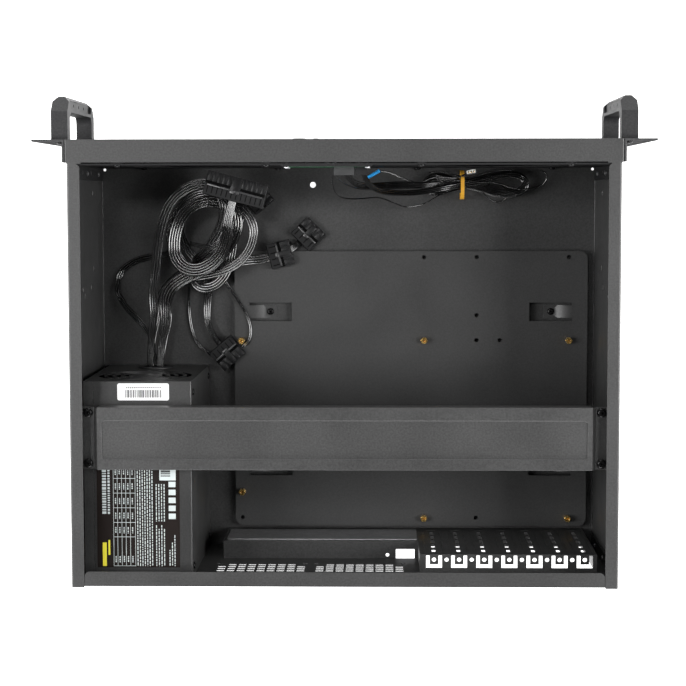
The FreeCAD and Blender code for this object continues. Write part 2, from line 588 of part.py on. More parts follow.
def crossbar():
    """A joggled bar with turned-down edges and a long pressed panel."""
    y0, y1 = BAR_Y
    top, under = BAR_TOP, BAR_TOP - BAR_SHEET
    tab = top - BAR_STEP
    end = WALL_IN - 2.0
    slope = BAR_STEP * 0.5
    upper = [(-end, tab), (-BAR_HALF - slope, tab), (-BAR_HALF, top), (BAR_HALF, top),
             (BAR_HALF + slope, tab), (end, tab)]
    lower = [(x, z - BAR_SHEET) for x, z in reversed(upper)]
    plate = prism([(x, y0, z) for x, z in upper + lower], V(0, y1 - y0, 0))
    flanges = [block((-BAR_HALF, BAR_HALF), span, (top - BAR_FLANGE, under + BAR_SHEET / 2))
               for span in ((y0, y0 + BAR_SHEET), (y1 - BAR_SHEET, y1))]
    length, width, depth, radius = BAR_PANEL
    middle = (y0 + y1) / 2 + 1.0
    span_x, span_y = (-length / 2, length / 2), (middle - width / 2, middle + width / 2)
    dish = rounded(span_x, span_y, (top - depth, top + 1), radius)
    skin = rounded((span_x[0] - SHEET, span_x[1] + SHEET), (span_y[0] - SHEET, span_y[1] + SHEET),
                   (under - depth, under + BAR_SHEET / 2), radius + SHEET)
    bar = fuse(plate, *flanges, skin)
    tools = [dish] + [rod(SCREW_D + 0.4, BAR_SHEET * 3, (x, y, tab - 2 * BAR_SHEET), "z")
                      for x, y in bar_screw_places()]
    return cut(bar, tools)


def bar_screw_places():
    middle = sum(BAR_Y) / 2
    return [(side * BAR_SCREW_X, middle + way * BAR_SCREW_SPACING / 2) for side in (-1, 1) for way in (-1, 1)]


def crossbar_screws():
    z = BAR_TOP - BAR_STEP
    return [screw(SCREW_D, 7.0, 7.5, 2.4, (x, y, z), "z", -1) for x, y in bar_screw_places()]


def crossbar_bracket():
    """The right bracket: an angle on the side wall that the crossbar is screwed to."""
    top = bracket_top()
    y = (BAR_Y[0] + 1.0, BAR_Y[1] - 1.0)
    wall = block((WALL_IN - SHEET, WALL_IN), y, (top - BAR_BRACKET_HEIGHT, top))
    ledge = block((BAR_HALF + 2.5, WALL_IN), y, (top - SHEET, top))
    angle = fuse(wall, ledge)
    tools = [rod(SCREW_D + 2 * RIVET_PLAY, SHEET * 3, (x, py, top - 2 * SHEET), "z")
             for x, py in bar_screw_places() if x > 0]
    tools += [rod(RIVET_D + 2 * RIVET_PLAY, SHEET * 3, (WALL_IN - 2 * SHEET, py, z), "x")
              for py, z in bracket_rivets()]
    return cut(angle, tools)


# ---------------------------------------------------------------- rear wall
def slot_places():
    return [FIRST_SLOT_X - k * SLOT_PITCH for k in range(SLOT_COUNT)]


def recess(inset, y0, y1):
    """The stepped recess behind the ports and slots, drawn in by a wall thickness."""
    end = slot_places()[-1] - SLOT_SIDE
    split = PORT_X - 2.0
    ports = block((split - inset, PORT_END - inset), (y0, y1), (SHEET, PORT_SHELF - inset))
    slots = block((end + inset, split - inset), (y0, y1), (SHEET, SLOT_SHELF - inset))
    return fuse(ports, slots)


def rear_panel():
    """The rear wall: fan grilles, a stepped recess with ports and slots, and the supply's opening."""
    wall = block((-WALL_IN, WALL_IN), (REAR_IN, REAR_PLANE), (SHEET, BODY_HEIGHT - SHEET / 2))
    reach = BODY_WIDTH / 2 - TOP_FLANGE - PLAY
    flange = rounded((-reach, reach), (REAR_PLANE - REAR_FLANGE, REAR_PLANE),
                     (BODY_HEIGHT - SHEET, BODY_HEIGHT), REAR_FLANGE_CORNER)
    square = block((-reach, reach), (REAR_PLANE - REAR_FLANGE_CORNER - SHEET, REAR_PLANE),
                   (BODY_HEIGHT - SHEET, BODY_HEIGHT))
    top_trim = [block(sorted((side * reach, side * (WALL_IN + 1))), (REAR_IN - 1, REAR_PLANE + 1),
                      (BODY_HEIGHT - SHEET, BODY_HEIGHT + 1))
                for side in (-1, 1)]
    sides = [block(sorted((side * WALL_IN, side * (WALL_IN - SHEET))),
                   (REAR_IN - WELD_FLANGE, REAR_IN + SHEET / 2),
                   (SHEET * 3, BODY_HEIGHT - 4 * SHEET)) for side in (-1, 1)]
    outer = fuse(wall, flange, square, *sides, recess(0, RECESS_Y, REAR_PLANE))
    hollow = recess(SHEET, RECESS_Y + SHEET, REAR_PLANE + 1)
    shell = cut(outer, [hollow, *top_trim])
    tools = grille_cells() + port_cuts() + slot_cuts() + supply_cuts()
    tools += [rod(RIVET_D + 2 * RIVET_PLAY, SHEET * 6, (side * WALL_IN - SHEET * 3, y, z), "x")
              for side in (-1, 1) for y, z in rivet_places() if y > CASE_DEPTH / 2]
    tools += bend_reliefs(REAR_IN, REAR_PLANE)
    return cut(shell, tools)


def grille_cells():
    """A square field of cells for each 80 mm fan, with a screw hole at each missing corner."""
    last = (GRILLE_CELLS - 1) / 2
    found = []
    for middle in GRILLE_X:
        for i in range(GRILLE_CELLS):
            for k in range(GRILLE_CELLS):
                u, w = i - last, k - last
                if abs(u) == last and abs(w) == last:
                    continue
                found.append(middle_block(middle + u * GRILLE_PITCH, REAR_IN, GRILLE_Z + w * GRILLE_PITCH,
                                          (GRILLE_HOLE, SHEET * 4, GRILLE_HOLE)))
        found += [rod(FAN_HOLE, SHEET * 4, (middle + dx, REAR_IN - SHEET, GRILLE_Z + dz), "y")
                  for dx, dz in corners(FAN80_HOLES, FAN80_HOLES)]
    return found


def port_cuts():
    width, height = PORT_WINDOW
    window = block((PORT_X, PORT_X + width), (RECESS_Y - 1, RECESS_Y + 2 * SHEET), (PORT_Z, PORT_Z + height))
    notch = block((PORT_X + 1.2, PORT_X + 1.2 + NOTCH[0]), (REAR_IN - NOTCH[1], REAR_IN),
                  (PORT_SHELF - 2 * SHEET, PORT_SHELF + SHEET))
    hole = rod(3.0, 4 * SHEET, (PORT_X + 24.0, REAR_IN - 3.0, PORT_SHELF - 2 * SHEET), "z")
    return [window, notch, hole]


def slot_cuts():
    """Tear-out covers: slits with nibs, vents, and the seat round each cover's tongue."""
    found = []
    y = RECESS_Y
    z0, z1 = PORT_Z, SLOT_SHELF - 4 * SHEET
    for x in slot_places():
        seat = block((x - SEAT_WIDTH / 2, x + SEAT_WIDTH / 2), (y + SHEET, y + SHEET + SEAT_DEPTH),
                     (SLOT_SHELF - 2 * SHEET, SLOT_SHELF + 1))
        tongue = block((x - TONGUE_WIDTH / 2, x + TONGUE_WIDTH / 2), (y, y + SHEET + TONGUE_LENGTH),
                       (0, SLOT_SHELF + 2))
        found.append(seat.cut(tongue))
        found.append(rod(TONGUE_HOLE, SHEET * 4, (x, y + BRACKET_SCREW_Y, SLOT_SHELF - 2 * SHEET), "z"))
        middle = (z0 + z1) / 2
        for side in (-1, 1):
            sx = x + side * (COVER_WIDTH + COVER_SLIT) / 2
            for a, b in ((z0 + COVER_NIB, middle - COVER_NIB / 2), (middle + COVER_NIB / 2, z1 - COVER_NIB)):
                found.append(block((sx - COVER_SLIT / 2, sx + COVER_SLIT / 2), (y - 1, y + 2 * SHEET),
                                   (a, b)))
        found.append(block((x - COVER_WIDTH / 2 + COVER_NIB, x + COVER_WIDTH / 2 - COVER_NIB),
                           (y - 1, y + 2 * SHEET),
                           (z0, z0 + COVER_SLIT)))
        for z in COVER_VENT_Z:
            found.append(middle_block(x, y + SHEET / 2, z, (COVER_VENT[0], 3 * SHEET, COVER_VENT[1])))
    for x in slot_places()[:-1]:
        found.append(rod(BRACKET_SCREW, SHEET * 4,
                         (x - SLOT_PITCH / 2, y + BRACKET_SCREW_Y, SLOT_SHELF - 2 * SHEET), "z"))
    return found


def io_shield():
    """The blank that snaps into the port window."""
    width, height = PORT_WINDOW
    rim = 1.0
    face = rounded_xz((PORT_X - rim, PORT_X + width + rim), (RECESS_Y - 0.8, RECESS_Y),
                      (PORT_Z - rim, PORT_Z + height + rim), 2.0)
    plug = rounded_xz((PORT_X + 0.2, PORT_X + width - 0.2), (RECESS_Y - 0.4, RECESS_Y + SHEET * 0.9),
                      (PORT_Z + 0.2, PORT_Z + height - 0.2), 1.5)
    dish = rounded_xz((PORT_X + 2, PORT_X + width - 2), (RECESS_Y + 0.1, RECESS_Y + 2 * SHEET),
                      (PORT_Z + 2, PORT_Z + height - 2), 1.0)
    return fuse(face, plug).cut(dish)


def rounded_xz(x, y, z, radius):
    shape = block(x, y, z)
    return shape.makeFillet(radius, long_edges(shape, "y"))


# ---------------------------------------------------------------- power supply
def at_supply(u, v):
    """X and Z of a place on the supply's end faces: u down from its top, v from its inner face."""
    return PSU_X + v, PSU_Z + PSU_HEIGHT - u


def supply_cuts():
    """The opening in the rear wall behind the supply, with its four screw holes."""
    x0, z1 = at_supply(11.0, 3.0)
    x1, z0 = at_supply(PSU_HEIGHT - 11.0, PSU_WIDTH - 3.0)
    opening = rounded_xz((x0, x1), (REAR_IN - 1, REAR_PLANE + 1), (z0, z1), 3.0)
    bx, bz = at_supply(*PSU_MOUNTS[3])
    opening = opening.cut(rod(13.0, 3 * SHEET, (bx, REAR_IN - 1, bz), "y"))
    holes = [rod(4.0, 3 * SHEET, (x, REAR_IN - 1, z), "y") for x, z in (at_supply(*m) for m in PSU_MOUNTS)]
    return [opening, *holes]


def guard(middle_x, middle_z, y, thickness):
    """Cutting tools for a punched finger guard: ring slots between four spokes."""
    found = []
    step = (PSU_FAN_BORE / 2 - HUB_D / 2 + 4.0) / PSU_GUARD_RINGS
    for k in range(PSU_GUARD_RINGS):
        outer = PSU_FAN_BORE / 2 - k * step
        inner = outer - step + PSU_GUARD_BAR
        band = ring(2 * outer, 2 * inner, 3 * thickness, (middle_x, y - thickness, middle_z), "y")
        spokes = [middle_block(middle_x, y, middle_z, (PSU_FAN_BORE * 1.1, 6 * thickness, 3.6)),
                  middle_block(middle_x, y, middle_z, (3.6, 6 * thickness, PSU_FAN_BORE * 1.1))]
        found.append(turned(band.cut(spokes[0]).cut(spokes[1]), (middle_x, y, middle_z), "y", 45))
    return found


def turned(shape, about, axis, degrees):
    copy = shape.copy()
    copy.rotate(V(*about), AXES[axis], degrees)
    return copy


def psu_base():
    """The supply's base: the side by the case wall, with the front and rear faces folded from it."""
    t = PSU_SHEET
    x0, x1 = PSU_X + t, PSU_X + PSU_WIDTH
    z0, z1 = PSU_Z + t, PSU_Z + PSU_HEIGHT - t
    side = block((x1 - t, x1), (PSU_FRONT, PSU_REAR), (z0, z1))
    front = block((x0, x1), (PSU_FRONT, PSU_FRONT + t), (z0, z1))
    rear = block((x0, x1), (PSU_REAR - t, PSU_REAR), (z0, z1))
    rims = [block((x1 - PSU_SEAM, x1), (PSU_FRONT, PSU_REAR), span)
            for span in ((PSU_Z, z0), (z1, PSU_Z + PSU_HEIGHT))]
    base = fuse(side, front, rear, *rims)
    fan_x, fan_z = at_supply(PSU_FAN_U, PSU_WIDTH / 2)
    tools = guard(fan_x, fan_z, PSU_FRONT + t / 2, t) + guard(fan_x, fan_z, PSU_REAR - t / 2, t)
    tools += [rod(FAN_HOLE, 3 * t, (fan_x + dx, PSU_REAR - 2 * t, fan_z + dz), "y")
              for dx, dz in corners(FAN80_HOLES, FAN80_HOLES)]
    tools += [rod(3.4, 3 * t, (x, PSU_REAR - 2 * t, z), "y") for x, z in (at_supply(*m) for m in PSU_MOUNTS)]
    x, z = at_supply(INLET_U, INLET_V)
    tools.append(middle_block(x, PSU_REAR, z, (INLET_SIZE[0] + 0.2, 6 * t, INLET_SIZE[1] + 0.2)))
    x, z = at_supply(INLET_U, SWITCH_V)
    tools.append(middle_block(x, PSU_REAR, z, (SWITCH_SIZE[0] + 0.2, 6 * t, SWITCH_SIZE[1] + 0.2)))
    x, z = at_supply(BUSHING_U, PSU_WIDTH / 2)
    tools.append(rod(BUSHING_D, 3 * t, (x, PSU_FRONT - t, z), "y"))
    tools += [rod(3.1 + 2 * RIVET_PLAY, 4 * t, (PSU_X, y, z), "x") for y, z in psu_cover_places()]
    return cut(fuse(base, *psu_cover_tabs()), tools)


def psu_cover():
    """The supply's cover: the inner side with the top and bottom faces folded from it."""
    t = PSU_SHEET
    x1 = PSU_X + PSU_WIDTH - PSU_SEAM - PLAY
    outer = block((PSU_X, x1), (PSU_FRONT, PSU_REAR), (PSU_Z, PSU_Z + PSU_HEIGHT))
    bends = [e for e in long_edges(outer, "y") if abs(e.CenterOfMass.x - PSU_X) < 1e-6]
    outer = outer.makeFillet(1.2, bends)
    inner = block((PSU_X + t, x1 + 1), (PSU_FRONT - 1, PSU_REAR + 1), (PSU_Z + t, PSU_Z + PSU_HEIGHT - t))
    cover = outer.cut(inner)
    holes = [rod(3.2, 3 * t, (PSU_X - t, y, z), "x") for y, z in psu_cover_places()]
    return cut(cover, holes)


def psu_cover_places():
    return [(y, z) for y in (PSU_FRONT + 9, PSU_REAR - 9) for z in (PSU_Z + 9, PSU_Z + PSU_HEIGHT - 9)]


def psu_cover_tabs():
    """Tabs of the base that the cover's screws bite into."""
    t = PSU_SHEET
    tabs = []
    for y, z in psu_cover_places():
        inner = y < (PSU_FRONT + PSU_REAR) / 2
        near = PSU_FRONT + t / 2 if inner else PSU_REAR - t / 2
        span = sorted((near, y + (6 if inner else -6)))
        tabs.append(block((PSU_X + t, PSU_X + 2 * t), span, (z - 6, z + 6)))
    return tabs


def psu_cover_screws():
    return [screw(3.1, 3.2, 5.6, 1.4, (PSU_X, y, z), "x", 1) for y, z in psu_cover_places()]


def psu_mount_screws():
    return [screw(3.2, 7.0, 6.6, REAR_HEAD, (x, REAR_PLANE, z), "y", -1)
            for x, z in (at_supply(*m) for m in PSU_MOUNTS)]


def fan_frame():
    """The square frame of the supply's fan, with its motor seat and struts."""
    x, z = at_supply(PSU_FAN_U, PSU_WIDTH / 2)
    y1 = PSU_REAR - PSU_SHEET
    y0 = y1 - PSU_FAN_DEPTH
    body = block((x - PSU_FAN / 2, x + PSU_FAN / 2), (y0, y1), (z - PSU_FAN / 2, z + PSU_FAN / 2))
    body = body.makeFillet(4.0, long_edges(body, "y"))
    waist = ring(2 * PSU_FAN, PSU_FAN, PSU_FAN_DEPTH - 8, (x, y0 + 4, z), "y")
    tools = [rod(PSU_FAN_BORE, PSU_FAN_DEPTH + 2, (x, y0 - 1, z), "y"), waist]
    tools += [rod(FAN_HOLE, PSU_FAN_DEPTH + 2, (x + dx, y0 - 1, z + dz), "y")
              for dx, dz in corners(FAN80_HOLES, FAN80_HOLES)]
    body = cut(body, tools)
    seat = rod(HUB_D, 3.0, (x, y0, z), "y")
    post = rod(5.0, 14.0, (x, y0, z), "y")
    struts = [turned(block((x, x + PSU_FAN_BORE / 2 + 1), (y0, y0 + 2.5), (z - 2, z + 2)), (x, y0, z), "y", a)
              for a in (30, 120, 210, 300)]
    return fuse(body, seat, post, *struts)


def fan_rotor():
    """Hub and swept blades, bored to run on the frame's post."""
    x, z = at_supply(PSU_FAN_U, PSU_WIDTH / 2)
    y0 = PSU_REAR - PSU_SHEET - PSU_FAN_DEPTH + 3.0 + ROTOR_PLAY
    y1 = PSU_REAR - PSU_SHEET - 2.0
    tip = PSU_FAN_BORE / 2 - ROTOR_PLAY
    hub = rod(HUB_D, y1 - y0, (x, y0, z), "y")
    rim = [e for e in hub.Edges if abs(e.CenterOfMass.y - y1) < 1e-6]
    hub = hub.makeChamfer(1.6, rim)
    half = 0.7
    blades = []
    for k in range(BLADES):
        root, end = HUB_D / 2 - 2, tip
        sections = []
        for radius, lean in ((root, 52), (end, 34)):
            chord = (y1 - y0 - 3) / math.sin(math.radians(lean))
            dx, dy = chord / 2 * math.cos(math.radians(lean)), chord / 2 * math.sin(math.radians(lean))
            nx, ny = half * math.sin(math.radians(lean)), half * math.cos(math.radians(lean))
            mid = (y0 + y1) / 2
            points = [V(x + dx + nx, mid + dy - ny, z + radius), V(x + dx - nx, mid + dy + ny, z + radius),
                      V(x - dx - nx, mid - dy + ny, z + radius), V(x - dx + nx, mid - dy - ny, z + radius)]
            sections.append(Part.makePolygon(points + points[:1]))
        blade = Part.makeLoft(sections, True, True)
        blades.append(turned(blade, (x, y0, z), "y", 360 / BLADES * k))
    sweep = rod(2 * tip, y1 - y0, (x, y0, z), "y")
    body = fuse(hub, *blades).common(sweep)
    return body.cut(rod(5.0 + 0.1, 11.5 - ROTOR_PLAY, (x, y0, z), "y"))


def fan_screws():
    x, z = at_supply(PSU_FAN_U, PSU_WIDTH / 2)
    return [screw(FAN_HOLE - 0.2, 7.0, 7.0, REAR_HEAD - 0.6, (x + dx, PSU_REAR, z + dz), "y", -1)
            for dx, dz in corners(FAN80_HOLES, FAN80_HOLES)]


def inlet():
    """The mains inlet: a flanged housing with an open socket and three pins."""
    x, z = at_supply(INLET_U, INLET_V)
    width, height = INLET_SIZE
    depth = 20.0
    housing = middle_block(x, PSU_REAR - depth / 2, z, (width, depth, height))
    flange = rounded_xz((x - width / 2 - 1.6, x + width / 2 + 1.6), (PSU_REAR, PSU_REAR + REAR_HEAD),
                        (z - height / 2 - 1.6, z + height / 2 + 1.6), 2.0)
    cavity = middle_block(x, PSU_REAR - 13.5 / 2 + REAR_HEAD, z,
                          (width - 4.0, 13.5 + REAR_HEAD, height - 4.5))
    top_edges = [e for e in long_edges(cavity, "y") if e.CenterOfMass.z > z]
    cavity = cavity.makeChamfer(4.0, top_edges)
    floor_y = cavity.BoundBox.YMin
    pins = [middle_block(x + dx, floor_y + 4.5, z + dz, (2.0, 10.0, 4.0))
            for dx, dz in ((-7, -2.6), (7, -2.6), (0, 2.0))]
    return fuse(fuse(housing, flange).cut(cavity), *pins)


def switch_frame():
    """The rocker switch's frame, open at the rear for the rocker."""
    x, z = at_supply(INLET_U, SWITCH_V)
    width, height = SWITCH_SIZE
    depth = 14.0
    housing = middle_block(x, PSU_REAR - depth / 2, z, (width, depth, height))
    flange = rounded_xz((x - width / 2 - 1.2, x + width / 2 + 1.2), (PSU_REAR, PSU_REAR + 1.4),
                        (z - height / 2 - 1.2, z + height / 2 + 1.2), 1.0)
    cavity = middle_block(x, PSU_REAR - 2.5, z, (width - 2.4, 11.0, height - 2.4))
    pivot = rod(2.0, width - 1.0, (x - width / 2 + 0.5, PSU_REAR - 2.5, z), "x")
    return fuse(fuse(housing, flange).cut(cavity), pivot)


def rocker():
    """The rocker: two faces that meet at a shallow angle, bored for its pivot."""
    x, z = at_supply(INLET_U, SWITCH_V)
    width, height = SWITCH_SIZE
    half_w = width / 2 - 1.2 - PLAY
    half_h = height / 2 - 1.2 - 0.9
    y = PSU_REAR
    points = [(-half_h + 0.6, -4.4), (-half_h, 1.8), (0, 0.4), (half_h, 1.8), (half_h - 0.6, -4.4), (0, -5.6)]
    body = prism([(x - half_w, y + dy, z + dz) for dz, dy in points], V(2 * half_w, 0, 0))
    body = body.cut(rod(2.0 + 0.1, width, (x - width / 2, PSU_REAR - 2.5, z), "x"))
    return turned(body, (x, PSU_REAR - 2.5, z), "x", -ROCKER_TILT)


def bushing():
    """The grommet that the supply's leads come out of."""
    x, z = at_supply(BUSHING_U, PSU_WIDTH / 2)
    t = PSU_SHEET
    body = rod(BUSHING_D - 2 * RIVET_PLAY, t + 3.0, (x, PSU_FRONT - 1.5, z), "y")
    collars = [rod(BUSHING_D + 4, 1.5, (x, PSU_FRONT - 1.5, z), "y"),
               rod(BUSHING_D + 4, 1.5, (x, PSU_FRONT + t, z), "y")]
    rim = [e for e in collars[0].Edges if abs(e.CenterOfMass.y - PSU_FRONT + 1.5) < 1e-6]
    collars[0] = collars[0].makeChamfer(0.6, rim)
    return fuse(body, *collars).cut(rod(BUNDLE_D + 0.2, 12.0, (x, PSU_FRONT - 4, z), "y"))


def psu_board():
    """The circuit board on the base, with its heat sinks, transformer and capacitors."""
    t = PSU_SHEET
    x1 = PSU_X + PSU_WIDTH - t - 6.0
    y0, y1 = PSU_FRONT + 8, PSU_REAR - PSU_FAN_DEPTH - 6
    z0, z1 = PSU_Z + 5, PSU_Z + PSU_HEIGHT - 5
    board = block((x1 - 1.6, x1), (y0, y1), (z0, z1))
    posts = [rod(5.0, 6.0, (x1, y, z), "x") for y in (y0 + 6, y1 - 6) for z in (z0 + 6, z1 - 6)]
    sinks = [block((x1 - 52, x1 - 1.6), (y, y + 3.0), (z0 + 34, z1 - 10)) for y in (y0 + 34, y1 - 36)]
    fins = [block((x1 - 52, x1 - 49), (y - 9, y + 12), (z0 + 34, z1 - 10)) for y in (y0 + 34, y1 - 36)]
    core = middle_block(x1 - 20, (y0 + y1) / 2, z0 + 74, (36.8, 24, 38))
    cans = [rod(22.0, 34.0, (x1 - 35.6, y1 - 16, z0 + 18 + k * 26), "x") for k in range(2)]
    return fuse(board, *posts, *sinks, *fins, core, *cans)


def psu_label():
    """The rating label on the supply's upper side."""
    y0 = BAR_Y[1] - 12.0
    return block((PSU_X + 10, PSU_X + 76), (y0, PSU_REAR - 9),
                 (PSU_Z + PSU_HEIGHT, PSU_Z + PSU_HEIGHT + 0.15))


def psu_sticker():
    """The bar-code sticker by the supply's front edge."""
    x = PSU_X + STICKER_MID
    return rounded((x - 20.5, x + 20.5), (PSU_FRONT + 1.5, PSU_FRONT + 15.0),
                   (PSU_Z + PSU_HEIGHT, PSU_Z + PSU_HEIGHT + 0.15), 1.6)


# ---------------------------------------------------------------- front ports
def io_board():
    width, height, thick = IO_BOARD
    board = block((IO_X - width / 2, IO_X + width / 2), (FRONT_WALL_IN, FRONT_WALL_IN + thick),
                  (IO_Z - height / 2, IO_Z + height / 2))
    return cut(board, [rod(2.6, 3 * thick, (x, TUB_FRONT, z), "y") for x, z in io_screws()])


def io_board_screws():
    y = FRONT_WALL_IN + IO_BOARD[2]
    return [screw(2.5, 3.0, 4.6, 1.2, (x, y, z), "y", -1) for x, z in io_screws()]


def usb_socket(x):
    """A socket standing on the board, its metal shell open at the front, with its tongue."""
    width, height = USB_SIZE
    y0, y1 = BEZEL_FACE * 0.4, FRONT_WALL_IN
    shell = middle_block(IO_X + x, (y0 + y1) / 2, IO_Z, (width, y1 - y0, height))
    cavity = middle_block(IO_X + x, (y0 + y1) / 2 - 4.0, IO_Z,
                          (width - 2 * USB_WALL, y1 - y0, height - 2 * USB_WALL))
    tongue = middle_block(IO_X + x - 1.3, y1 - 9.0, IO_Z, (1.2, 12.0, 11.0))
    return fuse(shell.cut(cavity), tongue)


def led(x):
    """A round-headed lamp on two legs."""
    y1 = FRONT_WALL_IN
    head = BEZEL_FACE + 4.0
    body = rod(LED_D, head, (IO_X + x, -0.8, IO_Z), "y")
    rim = [e for e in body.Edges if abs(e.CenterOfMass.y + 0.8) < 1e-6]
    body = body.makeChamfer(0.6, rim)
    stem = rod(LED_D + 0.8, y1 - head + 0.8, (IO_X + x, head - 0.8, IO_Z), "y")
    return fuse(body, stem)


def switch_body(x, d):
    """A push switch on the board, bored for the button's stem."""
    y1 = FRONT_WALL_IN
    y0 = y1 - 9.0
    size = min(d + 1.0, 10.0)
    body = middle_block(IO_X + x, (y0 + y1) / 2, IO_Z, (size, y1 - y0, size))
    return body.cut(rod(STEM_D + 2 * BUTTON_PLAY, 6.0 + BUTTON_TRAVEL, (IO_X + x, y0 - 1, IO_Z), "y"))


def button(x, d):
    """A push button: cap, retaining collar and stem."""
    y0 = -BUTTON_PROUD
    collar_y = BEZEL_FACE + BUTTON_PLAY
    cap = rod(d, collar_y + 1.5 - y0, (IO_X + x, y0, IO_Z), "y")
    rim = [e for e in cap.Edges if abs(e.CenterOfMass.y - y0) < 1e-6]
    cap = cap.makeChamfer(0.5, rim)
    collar = rod(d + 1.6, 1.5, (IO_X + x, collar_y, IO_Z), "y")
    stem = rod(STEM_D, FRONT_WALL_IN - 9.0 + 3.5 - collar_y, (IO_X + x, collar_y, IO_Z), "y")
    return fuse(cap, collar, stem)


def header_place():
    """The middle of the lead header behind the board: its base's underside."""
    return IO_X - 13.0, FRONT_WALL_IN + IO_BOARD[2] + 3.2, IO_Z + 4.0


def io_header():
    """A right-angled header behind the board, its two rows of pins pointing down."""
    x, y, z = header_place()
    base = middle_block(x, y, z + 1.25, (16.0, 6.4, 2.5))
    pins = [middle_block(x + (k - 2.5) * HEADER_PITCH, y + side * HEADER_PITCH / 2, z - 2.2, (0.7, 0.7, 5.0))
            for k in range(6) for side in (-1, 1)]
    return fuse(base, *pins)


def io_plugs():
    """The front leads' plugs: one pushed up onto the header, one into the port pair."""
    x, y, z = header_place()
    panel = middle_block(x, y, z - 4.3, (16.4, 6.2, 8.2))
    slots = [middle_block(x, y + side * HEADER_PITCH / 2, z - 2.5, (5.6 * HEADER_PITCH, 1.0, 6.0))
             for side in (-1, 1)]
    usb = middle_block(x - 14.0, y - 0.2, z - 3.0, (9.0, 6.0, 11.0))
    usb = usb.makeFillet(0.8, long_edges(usb, "z"))
    return [cut(panel, slots), usb]


# ---------------------------------------------------------------- leads

def lead(name, points, d):
    """A tube along straight runs joined by the largest tangent arcs, and its tightest radius."""
    nodes = [V(*p) for p in points]
    edges, radii, here = [], [], nodes[0]
    for before, at, after in zip(nodes, nodes[1:], nodes[2:]):
        a, b = (before - at), (after - at)
        run = min(a.Length, b.Length)
        ua, ub = a * (1 / a.Length), b * (1 / b.Length)
        turn = math.pi - ua.getAngle(ub)
        back = 0.45 * run
        radii.append(back / math.tan(turn / 2))
        start, end = at + ua * back, at + ub * back
        to_middle = (ua + ub) * (1 / (ua + ub).Length)
        reach = radii[-1] / math.cos(turn / 2) - radii[-1]
        edges.append(Part.LineSegment(here, start).toShape())
        edges.append(Part.Arc(start, at + to_middle * reach, end).toShape())
        here = end
    edges.append(Part.LineSegment(here, nodes[-1]).toShape())
    path = Part.Wire(edges)
    first = nodes[1] - nodes[0]
    section = Part.Wire(Part.makeCircle(d / 2, nodes[0], first))
    tube = path.makePipeShell([section], True, False)
    expected = math.pi * d * d / 4 * path.Length
    print(f"{name}: {path.Length:.0f} mm long, least radius {min(radii):.0f} mm, "
          f"volume {tube.Volume / expected:.3f} of section times length")
    return tube


def leads():
    """Every lead's tubes, by node name: from its exit to the coil, and from the coil to its plug."""
    routes = {
        "main_lead": (MAIN_D, MAIN_LEAD, MAIN_TAIL),
        "cpu_lead": (CPU_D, CPU_LEAD, CPU_TAIL),
        "drive_lead": (DRIVE_D, DRIVE_LEAD, DRIVE_TAIL),
        "spare_lead": (DRIVE_D, SPARE_LEAD, SPARE_TAIL),
        "side_lead": (SIDE_D, SIDE_LEAD),
        "loop_lead": (LOOP_D, LOOP_NEAR, LOOP_FAR),
        "front_lead": (FRONT_LEAD_D, FRONT_LEAD),
        "usb_lead": (FRONT_LEAD_D, USB_LEAD),
    }
    return {name: Part.makeCompound([lead(name, points, d) for points in stretches])
            for name, (d, *stretches) in routes.items()}


def racetrack(x, y, a, b, z, height):
    """An upright column: a rectangle between two half rounds, a and b its half width and length."""
    core = block((x - a, x + a), (y - b + a, y + b - a), (z, z + height))
    ends = [rod(2 * a, height, (x, y + side * (b - a), z), "z") for side in (-1, 1)]
    return fuse(core, *ends)


def lead_hank():
    """The supply's leads, wound into a long coil that lies on the floor and over the tray's corner."""
    x, y, a, b, hole_a, hole_b = HANK
    z0, z1 = HANK_Z
    outer = racetrack(x, y, a, b, z0, z1 - z0)
    rims = [e for e in outer.Edges
            if min(abs(e.BoundBox.ZMin - z) + abs(e.BoundBox.ZMax - z) for z in HANK_Z) < 1e-6]
    coil = outer.makeChamfer(8.0, rims)
    on_tray = block((x - a - 1, TRAY_X[1] + PLAY), (TRAY_Y[0] - PLAY, y + b + 1), (0, TRAY_TOP + PLAY))
    return cut(coil, [racetrack(x, y, hole_a, hole_b, z0, z1 - z0), on_tray])


def front_hank():
    shape = block(*FRONT_HANK)
    return shape.makeFillet(9.0, long_edges(shape, "x"))


def front_tie():
    """A twist tie round the front leads."""
    (x0, x1), y, z = FRONT_HANK
    middle = x0 + 60.0
    outer = block((middle - 1.5, middle + 1.5), (y[0] - 0.6, y[1] + 0.6), (z[0], z[1] + 0.6))
    inner = block((middle - 2, middle + 2), y, (z[0] - 1, z[1]))
    outer = outer.makeFillet(9.0, [e for e in long_edges(outer, "x") if e.CenterOfMass.z > z[0] + 5])
    inner = inner.makeFillet(9.0, [e for e in long_edges(inner, "x")])
    return outer.cut(inner)


def plug(middle, size, degrees, sockets):
    """A lead's plug: a block along its turned X, with a row of sockets in its free end."""
    x, y, z = middle
    length, width, height = size
    body = middle_block(x, y, z, size)
    body = body.makeFillet(0.6, long_edges(body, "x"))
    pitch = 4.2
    rows = 2 if height > 8 else 1
    tools = [middle_block(x - length / 2, y + (k - (sockets - 1) / 2) * pitch,
                          z + (r - (rows - 1) / 2) * pitch, (12.0, 3.0, 3.0))
             for k in range(sockets) for r in range(rows)]
    return turned(cut(body, tools), middle, "z", degrees)


